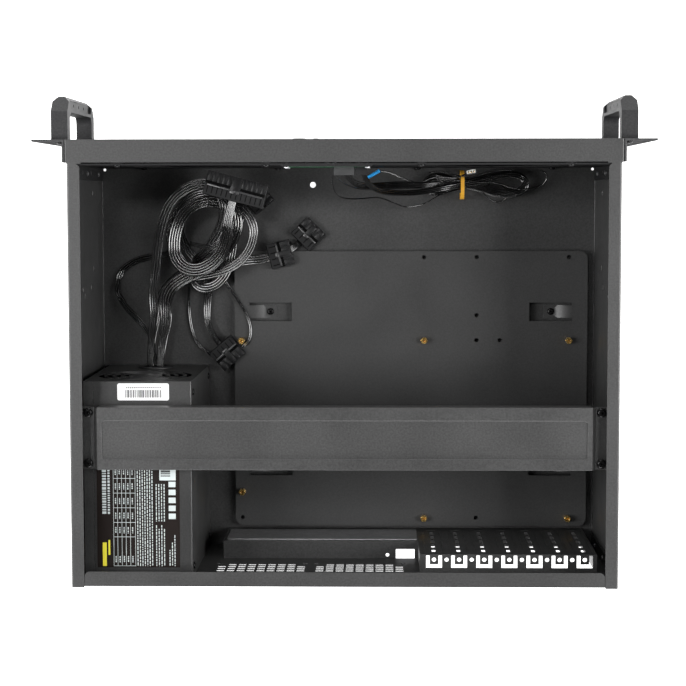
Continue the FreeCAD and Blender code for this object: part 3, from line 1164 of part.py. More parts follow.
def plugs():
    return {
        "main_plug": plug((92.0, 38.0, 65.3), (20.0, 51.6, 9.8), 75, 12),
        "cpu_plug": plug((76.8, 46.4, 6.7), (20.0, 18.4, 9.8), 40, 4),
        "drive_plugs": Part.makeCompound([plug((57.8, 93.6, 12.9), (20.0, 22.0, 7.0), 15, 4),
                                          plug((34.3, 76.0, 5.1), (20.0, 22.0, 7.0), 45, 4)]),
        "sata_plug": plug((104.0, 179.0, 12.9), (20.0, 24.0, 7.0), -48.8, 5),
    }


# ---------------------------------------------------------------- nodes
def build():
    """Every node's shape, by its name."""
    right_ear, right_handle, right_bracket = ear(), handle(), crossbar_bracket()
    nodes = {
        "chassis_tub": chassis_tub(),
        "front_wall": front_wall(),
        "rear_panel": rear_panel(),
        "front_bezel": front_bezel(),
        "wall_rivets": Part.makeCompound(wall_rivets()),
        "bezel_screws": Part.makeCompound(bezel_screws()),
        "ear_right": right_ear,
        "ear_left": mirrored(right_ear),
        "handle_right": right_handle,
        "handle_left": mirrored(right_handle),
        "handle_screws": Part.makeCompound(handle_screws()),
        "ear_screws": Part.makeCompound(ear_screws()),
        "motherboard_tray": motherboard_tray(),
        "tray_screws": Part.makeCompound(tray_screws()),
        "standoffs": Part.makeCompound(standoffs()),
        "crossbar": crossbar(),
        "crossbar_screws": Part.makeCompound(crossbar_screws()),
        "crossbar_bracket_right": right_bracket,
        "crossbar_bracket_left": mirrored(right_bracket),
        "io_shield": io_shield(),
        "io_board": io_board(),
        "io_board_screws": Part.makeCompound(io_board_screws()),
        "io_header": io_header(),
        "usb_sockets": Part.makeCompound([usb_socket(x) for x in USB_X]),
        "indicator_leds": Part.makeCompound([led(x) for x in LED_X]),
        "power_switch": switch_body(POWER_X, POWER_D),
        "power_button": button(POWER_X, POWER_D),
        "reset_switch": switch_body(RESET_X, RESET_D),
        "reset_button": button(RESET_X, RESET_D),
        "psu_base": psu_base(),
        "psu_cover": psu_cover(),
        "psu_cover_screws": Part.makeCompound(psu_cover_screws()),
        "psu_mount_screws": Part.makeCompound(psu_mount_screws()),
        "psu_board": psu_board(),
        "psu_bushing": bushing(),
        "psu_fan_frame": fan_frame(),
        "psu_fan_rotor": fan_rotor(),
        "psu_fan_screws": Part.makeCompound(fan_screws()),
        "mains_inlet": inlet(),
        "mains_switch": switch_frame(),
        "mains_rocker": rocker(),
        "rating_label": psu_label(),
        "code_sticker": psu_sticker(),
        "lead_hank": lead_hank(),
        "front_hank": front_hank(),
        "front_tie": front_tie(),
    }
    nodes.update(leads())
    nodes.update(plugs())
    nodes["io_plugs"] = Part.makeCompound(io_plugs())
    return nodes


def main():
    os.makedirs("parts", exist_ok=True)
    move = V(0, -(CASE_DEPTH_OUT - HANDLE_REACH) / 2, 0)
    for name, shape in build().items():
        placed = shape.copy()
        placed.translate(move)
        placed.exportStep(f"parts/{name}.step")
        print(f"{name}: {len(shape.Solids)} solids, {shape.Volume / 1000:.2f} cm3, valid {shape.isValid()}")


main()
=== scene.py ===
"""Looks of a four-unit open rack case with its power supply and cables.

Metres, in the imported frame: X runs along the rack's width, +Y to the rear and +Z up.
"""

import json
import logging
import math
import sys
from dataclasses import dataclass
from enum import Enum
from typing import Sequence

import bmesh
import bpy
from mathutils import Matrix, Vector

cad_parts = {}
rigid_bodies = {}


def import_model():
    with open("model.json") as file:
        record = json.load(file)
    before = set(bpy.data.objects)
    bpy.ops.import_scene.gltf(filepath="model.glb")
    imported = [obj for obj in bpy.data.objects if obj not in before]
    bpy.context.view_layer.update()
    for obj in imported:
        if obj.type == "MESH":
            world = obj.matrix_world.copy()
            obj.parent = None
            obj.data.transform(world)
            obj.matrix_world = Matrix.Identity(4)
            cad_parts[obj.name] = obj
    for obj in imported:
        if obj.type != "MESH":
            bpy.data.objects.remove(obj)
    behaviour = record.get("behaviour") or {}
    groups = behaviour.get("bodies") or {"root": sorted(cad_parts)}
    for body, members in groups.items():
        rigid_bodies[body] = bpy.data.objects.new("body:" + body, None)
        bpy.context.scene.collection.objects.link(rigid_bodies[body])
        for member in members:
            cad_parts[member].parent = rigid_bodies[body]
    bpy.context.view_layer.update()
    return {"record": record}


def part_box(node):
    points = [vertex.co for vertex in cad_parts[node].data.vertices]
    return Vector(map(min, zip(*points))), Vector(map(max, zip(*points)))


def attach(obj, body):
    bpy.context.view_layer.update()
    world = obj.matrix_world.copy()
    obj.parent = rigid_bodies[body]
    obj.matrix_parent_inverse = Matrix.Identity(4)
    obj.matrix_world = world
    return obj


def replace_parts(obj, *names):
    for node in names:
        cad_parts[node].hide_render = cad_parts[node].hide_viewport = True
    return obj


LOG = logging.getLogger("rack_case")
MM = 0.001
BODY = "case"
NOISE_RANGE = (0.32, 0.68)          # a noise texture seldom leaves these values
SAME_SPOT = 2e-6                    # a CAD mesh's loose corners this close are one
Point = tuple[float, float, float]
Colour = tuple[float, float, float]


# ---------------------------------------------------------------- materials
class Bench:
    """One new material's node tree, with short calls that add its nodes."""

    def __init__(self, name: str) -> None:
        """Starts a material.

        Args:
            name: The material's name.
        """
        self.material = bpy.data.materials.new(name)
        self.material.use_nodes = True
        self.tree = self.material.node_tree
        self.shader = self.tree.nodes["Principled BSDF"]
        self.place = self.node("ShaderNodeTexCoord").outputs["Object"]

    def node(self, kind: str, **settings: object) -> bpy.types.Node:
        """Adds a node.

        Args:
            kind: The node's type name.
            settings: Properties to set on it.

        Returns:
            The new node.
        """
        made = self.tree.nodes.new(kind)
        for name, value in settings.items():
            setattr(made, name, value)
        return made

    def join(self, source: bpy.types.NodeSocket, target: bpy.types.NodeSocket) -> None:
        """Links one socket to another."""
        self.tree.links.new(source, target)

    def noise(self, size: float, detail: float = 2.0, stretch: Point = (1, 1, 1)) -> bpy.types.NodeSocket:
        """Adds noise on object coordinates.

        Args:
            size: About how wide one blob is, in metres.
            detail: Octaves of finer noise.
            stretch: Scale of the coordinates along each axis.

        Returns:
            The noise's value socket.
        """
        mapping = self.node("ShaderNodeMapping")
        mapping.inputs["Scale"].default_value = stretch
        texture = self.node("ShaderNodeTexNoise")
        texture.inputs["Scale"].default_value = 1 / size
        texture.inputs["Detail"].default_value = detail
        self.join(self.place, mapping.inputs["Vector"])
        self.join(mapping.outputs["Vector"], texture.inputs["Vector"])
        return texture.outputs["Fac"]

    def spread(self, source: bpy.types.NodeSocket, low: float, high: float) -> bpy.types.NodeSocket:
        """Maps the middle of a noise's range to a new range.

        Args:
            source: The noise's value.
            low: Result where the noise is low.
            high: Result where the noise is high.

        Returns:
            The mapped value's socket.
        """
        mapped = self.node("ShaderNodeMapRange")
        for name, value in zip(("From Min", "From Max", "To Min", "To Max"), (*NOISE_RANGE, low, high)):
            mapped.inputs[name].default_value = value
        self.join(source, mapped.inputs["Value"])
        return mapped.outputs["Result"]

    def mixed(self, share: bpy.types.NodeSocket, first: Colour, second: Colour) -> bpy.types.NodeSocket:
        """Mixes two colours.

        Args:
            share: The second colour's share, from 0 to 1.
            first: The colour at 0.
            second: The colour at 1.

        Returns:
            The mixed colour's socket.
        """
        mix = self.node("ShaderNodeMix", data_type="RGBA")
        mix.inputs[6].default_value = (*first, 1)
        mix.inputs[7].default_value = (*second, 1)
        self.join(share, mix.inputs[0])
        return mix.outputs[2]

    def mottle(self, colour: Colour, amount: float, size: float) -> None:
        """Varies the base colour a little about its own value.

        Args:
            colour: The middle colour.
            amount: Share by which the lightest and darkest spots differ from it.
            size: Width of a spot, in metres.
        """
        dark = tuple(c * (1 - amount) for c in colour)
        light = tuple(min(1.0, c * (1 + amount)) for c in colour)
        share = self.spread(self.noise(size), 0.0, 1.0)
        self.join(self.mixed(share, dark, light), self.shader.inputs["Base Color"])

    def rough(self, low: float, high: float, size: float) -> None:
        """Lets the roughness wander between two values in patches of a size."""
        self.join(self.spread(self.noise(size, 3.0), low, high), self.shader.inputs["Roughness"])

    def bump(self, height: bpy.types.NodeSocket, depth: float) -> None:
        """Raises the surface by a value times a depth in metres.

        Args:
            height: The value from 0 to 1.
            depth: How far the highest value stands out.
        """
        relief = self.node("ShaderNodeBump")
        relief.inputs["Distance"].default_value = depth
        self.join(height, relief.inputs["Height"])
        self.join(relief.outputs["Normal"], self.shader.inputs["Normal"])

    def set(self, **values: float) -> None:
        """Sets plain numbers on the shader's sockets, with _ for a space."""
        for name, value in values.items():
            self.shader.inputs[name.replace("_", " ")].default_value = value

    def skin(self, mottle: tuple[Colour, float, float], rough: tuple[float, float, float],
             relief: tuple[float, float, float], **values: float) -> bpy.types.Material:
        """Builds the whole of a plain finish.

        Args:
            mottle: The middle colour, how much it varies and a spot's size.
            rough: Lowest and highest roughness and a patch's size.
            relief: The bump's size, octaves and depth.
            values: Numbers for the shader's own sockets.

        Returns:
            The material.
        """
        self.mottle(*mottle)
        self.rough(*rough)
        size, detail, depth = relief
        self.bump(self.noise(size, detail), depth)
        self.set(**values)
        return self.material


@dataclass(frozen=True)
class PowderCoat:
    """Baked powder paint: fine orange peel with a slight speckle."""

    colour: Colour
    gloss: float = 0.5
    speckle: float = 0.26
    grain: float = 1.45 * MM
    peel: float = 0.08 * MM
    shine: float = 0.5

    def make(self, name: str) -> bpy.types.Material:
        """Builds the paint under a name.

        Args:
            name: The material's name.

        Returns:
            The material.
        """
        return Bench(name).skin((self.colour, self.speckle, self.grain),
                                (self.gloss - 0.05, self.gloss + 0.06, 45 * MM),
                                (self.grain, 2.0, self.peel), Specular_IOR_Level=self.shine)


@dataclass(frozen=True)
class Moulding:
    """Injection-moulded plastic: an even colour with a fine spark-eroded grain."""

    colour: Colour
    gloss: float = 0.45
    grain: float = 0.4 * MM
    relief: float = 0.02 * MM
    shine: float = 0.5

    def make(self, name: str) -> bpy.types.Material:
        """Builds the plastic under a name."""
        return Bench(name).skin((self.colour, 0.12, 6 * MM), (self.gloss - 0.06, self.gloss + 0.06, 8 * MM),
                                (self.grain, 2.0, self.relief), Specular_IOR_Level=self.shine)


@dataclass(frozen=True)
class BareMetal:
    """Plated or turned metal with faint drawn lines."""

    colour: Colour
    gloss: float = 0.3
    along: Point = (1.0, 12.0, 1.0)

    def make(self, name: str) -> bpy.types.Material:
        """Builds the metal under a name.

        Args:
            name: The material's name.

        Returns:
            The material.
        """
        bench = Bench(name)
        bench.mottle(self.colour, 0.1, 4 * MM)
        lines = bench.noise(1.6 * MM, 3.0, self.along)
        bench.join(bench.spread(lines, self.gloss - 0.08, self.gloss + 0.1), bench.shader.inputs["Roughness"])
        bench.bump(lines, 0.01 * MM)
        bench.set(Metallic=1.0)
        return bench.material


@dataclass(frozen=True)
class BlackZinc:
    """Dark zinc plating on a screw, lighter where the plating is thin."""

    colour: Colour = (0.004, 0.004, 0.0042)

    def make(self, name: str) -> bpy.types.Material:
        """Builds the plating under a name."""
        return Bench(name).skin((self.colour, 0.35, 1.2 * MM), (0.22, 0.34, 1.5 * MM), (0.5 * MM, 2.0, 0.01 * MM),
                                Specular_IOR_Level=0.25)


@dataclass(frozen=True)
class SolderResist:
    """A circuit board's green lacquer over copper tracks."""

    green: Colour = (0.02, 0.12, 0.05)
    copper: Colour = (0.04, 0.2, 0.08)

    def make(self, name: str) -> bpy.types.Material:
        """Builds the lacquer under a name.

        Args:
            name: The material's name.

        Returns:
            The material.
        """
        bench = Bench(name)
        cells = bench.node("ShaderNodeTexVoronoi", distance="CHEBYCHEV")
        cells.inputs["Scale"].default_value = 1 / (3 * MM)
        bench.join(bench.place, cells.inputs["Vector"])
        tracks = bench.spread(cells.outputs["Distance"], 0.0, 1.0)
        bench.join(bench.mixed(tracks, self.green, self.copper), bench.shader.inputs["Base Color"])
        bench.rough(0.25, 0.4, 10 * MM)
        bench.bump(tracks, 0.03 * MM)
        return bench.material


@dataclass(frozen=True)
class WireJacket:
    """Glossy vinyl insulation, slightly uneven along the wire."""

    colour: Colour = (0.002, 0.002, 0.0021)
    gloss: float = 0.22

    def make(self, name: str) -> bpy.types.Material:
        """Builds the insulation under a name.

        Args:
            name: The material's name.

        Returns:
            The material.
        """
        return Bench(name).skin((self.colour, 0.3, 9 * MM), (self.gloss - 0.05, self.gloss + 0.05, 12 * MM),
                                (5 * MM, 0.0, 0.012 * MM), Specular_IOR_Level=1.0, Coat_Weight=0.8,
                                Coat_Roughness=0.14, Coat_IOR=1.7)


@dataclass(frozen=True)
class Paper:
    """Coated sticker paper or printed film."""

    colour: Colour
    gloss: float = 0.5
    shine: float = 0.5

    def make(self, name: str) -> bpy.types.Material:
        """Builds the paper under a name."""
        return Bench(name).skin((self.colour, 0.03, 5 * MM), (self.gloss - 0.05, self.gloss + 0.05, 15 * MM),
                                (0.25 * MM, 2.0, 0.006 * MM), Specular_IOR_Level=self.shine)


@dataclass(frozen=True)
class ClearLens:
    """A lamp's water-clear epoxy."""

    colour: Colour = (0.8, 0.83, 0.86)

    def make(self, name: str) -> bpy.types.Material:
        """Builds the epoxy under a name."""
        return Bench(name).skin((self.colour, 0.04, 2 * MM), (0.05, 0.14, 2 * MM), (1.0 * MM, 2.0, 0.01 * MM),
                                Transmission_Weight=0.6, IOR=1.5)


class Coat(Enum):
    """Every finish on the case, by the record's slot name or the name of a new one."""

    case_steel = PowderCoat((0.031, 0.031, 0.031), gloss=0.4)
    front_steel = PowderCoat((0.026, 0.026, 0.026), gloss=0.42)
    ear_steel = PowderCoat((0.05, 0.05, 0.051), gloss=0.85, shine=0.03)
    tray_steel = PowderCoat((0.031, 0.031, 0.031), gloss=0.42, speckle=0.16, peel=0.05 * MM)
    handle_alloy = PowderCoat((0.02, 0.02, 0.021), gloss=0.5, speckle=0.3, peel=0.06 * MM, shine=0.25)
    supply_steel = PowderCoat((0.028, 0.028, 0.028), gloss=0.36, speckle=0.16, peel=0.05 * MM)
    # Painted shade: darker, duller paint for the front wall, whose top lies in shadow under the front panel's lip.
    shaded_steel = PowderCoat((0.02, 0.02, 0.0205), gloss=0.85, speckle=0.2, peel=0.05 * MM, shine=0.05)
    shield_steel = BareMetal((0.5, 0.5, 0.51), gloss=0.42, along=(12.0, 1.0, 1.0))
    rivet_steel = PowderCoat((0.06, 0.06, 0.062), gloss=0.38, speckle=0.1)
    dark_screw = BlackZinc()
    plain_steel = BareMetal((0.62, 0.62, 0.64))
    plated_steel = BareMetal((0.7, 0.7, 0.72), gloss=0.2)
    standoff_brass = BareMetal((0.83, 0.55, 0.18), gloss=0.24)
    board_green = SolderResist()
    black_plastic = Moulding((0.02, 0.02, 0.021))
    button_plastic = Moulding((0.03, 0.03, 0.032), gloss=0.3)
    lamp_lens = ClearLens()
    label_print = Paper((0.01, 0.0065, 0.0055), gloss=0.6, shine=0.15)
    sticker_paper = Paper((0.86, 0.86, 0.86))
    lead_black = WireJacket()
    tie_orange = Paper((0.85, 0.44, 0.03), gloss=0.6)
    plug_black = Moulding((0.006, 0.006, 0.0065), gloss=0.4, shine=0.3)
    # Painted shade: the plugs' black plastic made blacker and duller for their gaps, also used in the screws' cross
    # recesses.
    plug_shade = Moulding((0.002, 0.002, 0.002), gloss=0.7, shine=0.05)
    # Painted highlight: a lighter, shinier copy of the plugs' plastic for their ribs.
    plug_bright = Moulding((0.03, 0.03, 0.031), gloss=0.3, shine=0.8)
    ink_black = Paper((0.02, 0.02, 0.02), gloss=0.45)
    ink_white = Paper((0.52, 0.57, 0.57), gloss=0.6, shine=0.2)
    ink_yellow = Paper((0.75, 0.68, 0.04), gloss=0.4)
    sleeve_blue = Moulding((0.03, 0.35, 0.8), gloss=0.4)
    contact_brass = BareMetal((0.85, 0.62, 0.25), gloss=0.2)
    housing_white = Moulding((0.75, 0.74, 0.7), gloss=0.4)

    def material(self) -> bpy.types.Material:
        """Gives this finish's one material, made the first time it is asked for."""
        name = f"{self.name}_finish"
        return bpy.data.materials.get(name) or self.value.make(name)


def dress(piece: bpy.types.Object, coat: Coat) -> bpy.types.Object:
    """Gives a piece one finish.

    Args:
        piece: A mesh or curve object.
        coat: The finish.

    Returns:
        The same piece.
    """
    piece.data.materials.clear()
    piece.data.materials.append(coat.material())
    return piece


# ---------------------------------------------------------------- pieces
def linked(name: str, data: bpy.types.ID) -> bpy.types.Object:
    """Makes an object of a mesh, lamp or camera and puts it in the scene.

    Args:
        name: The object's name.
        data: The mesh, lamp or camera.

    Returns:
        The new object.
    """
    made = bpy.data.objects.new(name, data)
    bpy.context.scene.collection.objects.link(made)
    return made


def landed(name: str, mesh: bpy.types.Mesh, coat: Coat,
           body: str = BODY) -> bpy.types.Object:
    """Puts a finished mesh in the scene as a piece of a body.

    Args:
        name: The piece's name.
        mesh: Its mesh, already in place.
        coat: Its finish.
        body: The body that it rides on.

    Returns:
        The new object.
    """
    piece = dress(linked(name, mesh), coat)
    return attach(piece, body)


def meshed(name: str, shape: bmesh.types.BMesh, smooth_below: float = 40.0) -> bpy.types.Mesh:
    """Turns a bmesh into a mesh with outward faces and smooth shading below an angle.

    Args:
        name: The mesh's name.
        shape: The bmesh, which is freed.
        smooth_below: Degrees between faces past which an edge stays sharp.

    Returns:
        The mesh.
    """
    bmesh.ops.recalc_face_normals(shape, faces=shape.faces)
    mesh = bpy.data.meshes.new(name)
    shape.to_mesh(mesh)
    shape.free()
    mesh.shade_smooth()
    mesh.set_sharp_from_angle(angle=math.radians(smooth_below))
    return mesh


def built(name: str, shape: bmesh.types.BMesh, coat: Coat) -> bpy.types.Object:
    """Finishes a bmesh as a piece of the case."""
    return landed(name, meshed(name, shape), coat)


def add_block(shape: bmesh.types.BMesh, middle: Sequence[float], size: Sequence[float], turn: Matrix | None = None,
              edge: float = 0.0) -> None:
    """Adds a block with softened edges to a bmesh.

    Args:
        shape: The bmesh.
        middle: The block's middle.
        size: Its three sizes.
        turn: A rotation about its middle.
        edge: Width of the bevel on its edges.
    """
    scale = Matrix.Diagonal((*size, 1))
    place = Matrix.Translation(middle) @ (turn or Matrix.Identity(4)) @ scale
    made = bmesh.ops.create_cube(shape, size=1.0, matrix=place)
    if edge:
        edges = list({e for v in made["verts"] for e in v.link_edges})
        bmesh.ops.bevel(shape, geom=edges, offset=edge, offset_type="OFFSET", segments=2, profile=0.5,
                        affect="EDGES", clamp_overlap=True, material=-1)


def islands(node: str) -> list[tuple[Vector, Vector]]:
    """Finds the separate solids of a CAD node.

    Args:
        node: The node's name.

    Returns:
        Each solid's lowest and highest corner.
    """
    shape = bmesh.new()
    shape.from_mesh(bpy.data.objects[node].data)
    bmesh.ops.remove_doubles(shape, verts=shape.verts, dist=1e-5)
    found, seen = [], set()
    for start in shape.verts:
        if start in seen:
            continue
        group, todo = [], [start]
        seen.add(start)
        while todo:
            here = todo.pop()
            group.append(here.co.copy())
            for edge in here.link_edges:
                other = edge.other_vert(here)
                if other not in seen:
                    seen.add(other)
                    todo.append(other)
        found.append((Vector(map(min, zip(*group))), Vector(map(max, zip(*group)))))
    shape.free()
    return found


@dataclass(frozen=True)
class SheetPart:
    """A folded or cast node shown as a copy with softened edges."""

    node: str
    coat: Coat
    edge: float = 0.25 * MM
    angle: float = 35.0

    def make(self) -> bpy.types.Object:
        """Builds the softened copy, which replaces the node.

        Returns:
            The copy.
        """
        shape = bmesh.new()
        shape.from_mesh(bpy.data.objects[self.node].data)
        bmesh.ops.remove_doubles(shape, verts=shape.verts, dist=SAME_SPOT)
        bmesh.ops.dissolve_limit(shape, angle_limit=math.radians(0.5), verts=shape.verts, edges=shape.edges)
        mesh = bpy.data.meshes.new(f"{self.node}_soft")
        shape.to_mesh(mesh)
        shape.free()
        piece = landed(f"{self.node}_soft", mesh, self.coat)
        bevel = piece.modifiers.new("edges", "BEVEL")
        bevel.width = self.edge
        bevel.segments = 2
        bevel.limit_method = "ANGLE"
        bevel.angle_limit = math.radians(self.angle)
        bevel.use_clamp_overlap = True
        even = piece.modifiers.new("shading", "WEIGHTED_NORMAL")
        even.keep_sharp = True
        even.weight = 100
        mesh.shade_smooth()
        mesh.set_sharp_from_angle(angle=math.radians(self.angle))
        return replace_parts(piece, self.node)


class HeadKind(Enum):
    """How a fastener's head is finished."""

    CROSS = "cross recess"
    POP = "pop rivet"


@dataclass(frozen=True)
class Fasteners:
    """A set of like screws or rivets, turned anew at the place of each of the node's solids."""

    node: str
    coat: Coat
    head_d: float
    head: float
    shank_d: float
    axis: int
    way: int
    kind: HeadKind = HeadKind.CROSS

    def profile(self, length: float) -> list[tuple[float, float]]:
        """Gives half of the fastener's section.

        Args:
            length: The shank's length below the head.

        Returns:
            Radius and height of each corner, from the shank's tip to the head's middle.
        """
        r, h, s = self.head_d / 2, self.head, self.shank_d / 2
        shank = [(0.0, -length), (s * 0.8, -length), (s, -length + s * 0.4), (s, 0.0), (r * 0.97, 0.0)]
        if self.kind is HeadKind.POP:
            return shank + [(r, h * 0.12), (r * 0.96, h * 0.35), (r * 0.8, h * 0.72), (r * 0.55, h * 0.95),
                            (r * 0.34, h), (r * 0.28, h * 0.5), (0.0, h * 0.4)]
        return shank + [(r, h * 0.08), (r, h * 0.38), (r * 0.94, h * 0.64), (r * 0.78, h * 0.87),
                        (r * 0.56, h * 0.96), (r * 0.26, h * 0.96), (r * 0.12, h * 0.55), (0.0, h * 0.45)]

    def turned(self, length: float) -> bmesh.types.BMesh:
        """Spins one fastener about Z, its head upward and the joint of head and shank at the origin.

        Args:
            length: The shank's length below the head.

        Returns:
            The fastener's bmesh.
        """
        part = bmesh.new()
        outline = [part.verts.new((radius, 0, height)) for radius, height in self.profile(length)]
        edges = [part.edges.new(pair) for pair in zip(outline, outline[1:])]
        bmesh.ops.spin(part, geom=outline + edges, cent=(0, 0, 0), axis=(0, 0, 1), dvec=(0, 0, 0),
                       angle=math.tau, steps=18, use_merge=True)
        bmesh.ops.remove_doubles(part, verts=part.verts, dist=1e-6)
        # The cross recess's faces take the second material, painted shade that makes the recess black.
        if self.kind is HeadKind.CROSS:
            before = set(part.faces)
            for spin in (45, 135):
                add_block(part, (0, 0, self.head * 0.745), (self.head_d * 0.56, self.head_d * 0.15, self.head * 0.5),
                          Matrix.Rotation(math.radians(spin), 4, "Z"))
            for face in set(part.faces) - before:
                face.material_index = 1
        return part

    def make(self) -> bpy.types.Object:
        """Builds every fastener of the set as one piece that replaces the node.

        Returns:
            The piece.
        """
        shape = bmesh.new()
        for low, high in islands(self.node):
            middle = (low + high) / 2
            way = self.way or (1 if middle[self.axis] > 0 else -1)
            outer = high[self.axis] if way > 0 else low[self.axis]
            middle[self.axis] = outer - way * self.head
            normal = Vector((0, 0, 0))
            normal[self.axis] = way
            place = Matrix.Translation(middle) @ normal.to_track_quat("Z", "Y").to_matrix().to_4x4()
            part = self.turned(high[self.axis] - low[self.axis] - self.head)
            bmesh.ops.transform(part, matrix=place, verts=part.verts)
            mesh = bpy.data.meshes.new("one")
            part.to_mesh(mesh)
            part.free()
            shape.from_mesh(mesh)
            bpy.data.meshes.remove(mesh)
        piece = built(f"{self.node}_turned", shape, self.coat)
        # The second material is painted shade for the cross recesses.
        piece.data.materials.append(Coat.plug_shade.material())
        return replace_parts(piece, self.node)


FASTENERS = (
    Fasteners("crossbar_screws", Coat.dark_screw, 7.5 * MM, 2.4 * MM, 4.0 * MM, 2, 1),
    Fasteners("tray_screws", Coat.dark_screw, 6.0 * MM, 1.8 * MM, 3.1 * MM, 2, 1),
    Fasteners("bezel_screws", Coat.dark_screw, 6.0 * MM, 1.8 * MM, 2.9 * MM, 1, 1),
    Fasteners("handle_screws", Coat.dark_screw, 6.0 * MM, 2.0 * MM, 3.8 * MM, 1, 1),
    Fasteners("ear_screws", Coat.dark_screw, 6.5 * MM, 1.6 * MM, 3.1 * MM, 0, 0),
    Fasteners("psu_cover_screws", Coat.dark_screw, 5.6 * MM, 1.4 * MM, 3.1 * MM, 0, -1),
    Fasteners("psu_mount_screws", Coat.dark_screw, 6.6 * MM, 2.0 * MM, 3.2 * MM, 1, 1),
    Fasteners("psu_fan_screws", Coat.dark_screw, 7.0 * MM, 1.4 * MM, 4.1 * MM, 1, 1),
    Fasteners("io_board_screws", Coat.plain_steel, 4.6 * MM, 1.2 * MM, 2.5 * MM, 1, 1),
    Fasteners("wall_rivets", Coat.rivet_steel, 7.0 * MM, 1.2 * MM, 4.0 * MM, 0, 0, HeadKind.POP),
)

SHEET_PARTS = (
    SheetPart("chassis_tub", Coat.case_steel),
    # The front wall wears the painted-shade paint.
    SheetPart("front_wall", Coat.shaded_steel, 0.12 * MM),
    SheetPart("front_bezel", Coat.front_steel, 0.3 * MM),
    SheetPart("ear_left", Coat.ear_steel, 0.3 * MM),
    SheetPart("ear_right", Coat.ear_steel, 0.3 * MM),
    SheetPart("handle_left", Coat.handle_alloy, 0.5 * MM),
    SheetPart("handle_right", Coat.handle_alloy, 0.5 * MM),
    SheetPart("motherboard_tray", Coat.tray_steel, 0.2 * MM),
    SheetPart("crossbar", Coat.case_steel, 0.6 * MM, 20.0),
    SheetPart("crossbar_bracket_left", Coat.case_steel),
    SheetPart("crossbar_bracket_right", Coat.case_steel),
    SheetPart("psu_base", Coat.supply_steel, 0.2 * MM),
    SheetPart("psu_cover", Coat.supply_steel, 0.2 * MM),
    SheetPart("psu_bushing", Coat.black_plastic, 0.2 * MM),
    SheetPart("io_shield", Coat.shield_steel, 0.15 * MM),
    SheetPart("main_plug", Coat.plug_black, 0.2 * MM),
    SheetPart("cpu_plug", Coat.plug_black, 0.2 * MM),
    SheetPart("sata_plug", Coat.plug_black, 0.25 * MM),
    SheetPart("drive_plugs", Coat.plug_black, 0.25 * MM),
    SheetPart("standoffs", Coat.standoff_brass, 0.2 * MM),
)


# ---------------------------------------------------------------- print
class Ink:
    """Flat fields of one colour on an upward face."""

    def __init__(self, name: str, coat: Coat, height: float, rides_on: str) -> None:
        """Starts a print.

        Args:
            name: The piece's name.
            coat: The ink.
            height: Height of the printed face.
            rides_on: The slot of the paper that it is on; not used.
        """
        self.name, self.coat, self.height, self.slot = name, coat, height, rides_on
        self.shape = bmesh.new()

    def field(self, x: tuple[float, float], y: tuple[float, float], thick: float = 0.04 * MM) -> None:
        """Adds one field between two X and two Y, in metres."""
        size = (abs(x[1] - x[0]), abs(y[1] - y[0]), thick)
        add_block(self.shape, (sum(x) / 2, sum(y) / 2, self.height + thick / 2), size)

    def dashes(self, x: tuple[float, float], y: tuple[float, float], run: float, gap: float, seed: int) -> None:
        """Fills a band that runs along Y with dashes of uneven length, as lines of print look from afar.

        Args:
            x: The band's two X.
            y: The band's two Y.
            run: About how long one dash is.
            gap: The space between dashes.
            seed: Where the uneven lengths start.
        """
        at, step = y[0], seed
        while at < y[1]:
            step = (step * 37 + 11) % 101
            end = min(y[1], at + run * (0.5 + step / 80))
            self.field(x, (at, end))
            at = end + gap

    def done(self) -> bpy.types.Object:
        """Finishes the print as one piece."""
        return built(self.name, self.shape, self.coat)


@dataclass(frozen=True)
class Sheet:
    """The printed part of a label, measured in millimetres from its right and back edges."""

    right: float
    back: float
    front: float

    def x(self, start: float, wide: float) -> tuple[float, float]:
        """Gives the two X of a strip that starts so far from the right edge and is so wide."""
        return self.right - start * MM, self.right - (start + wide) * MM

    def y(self, start: float, end: float | None = None) -> tuple[float, float]:
        """Gives the two Y between two distances from the back edge, or from one out to the front."""
        return self.front if end is None else self.back - end * MM, self.back - start * MM


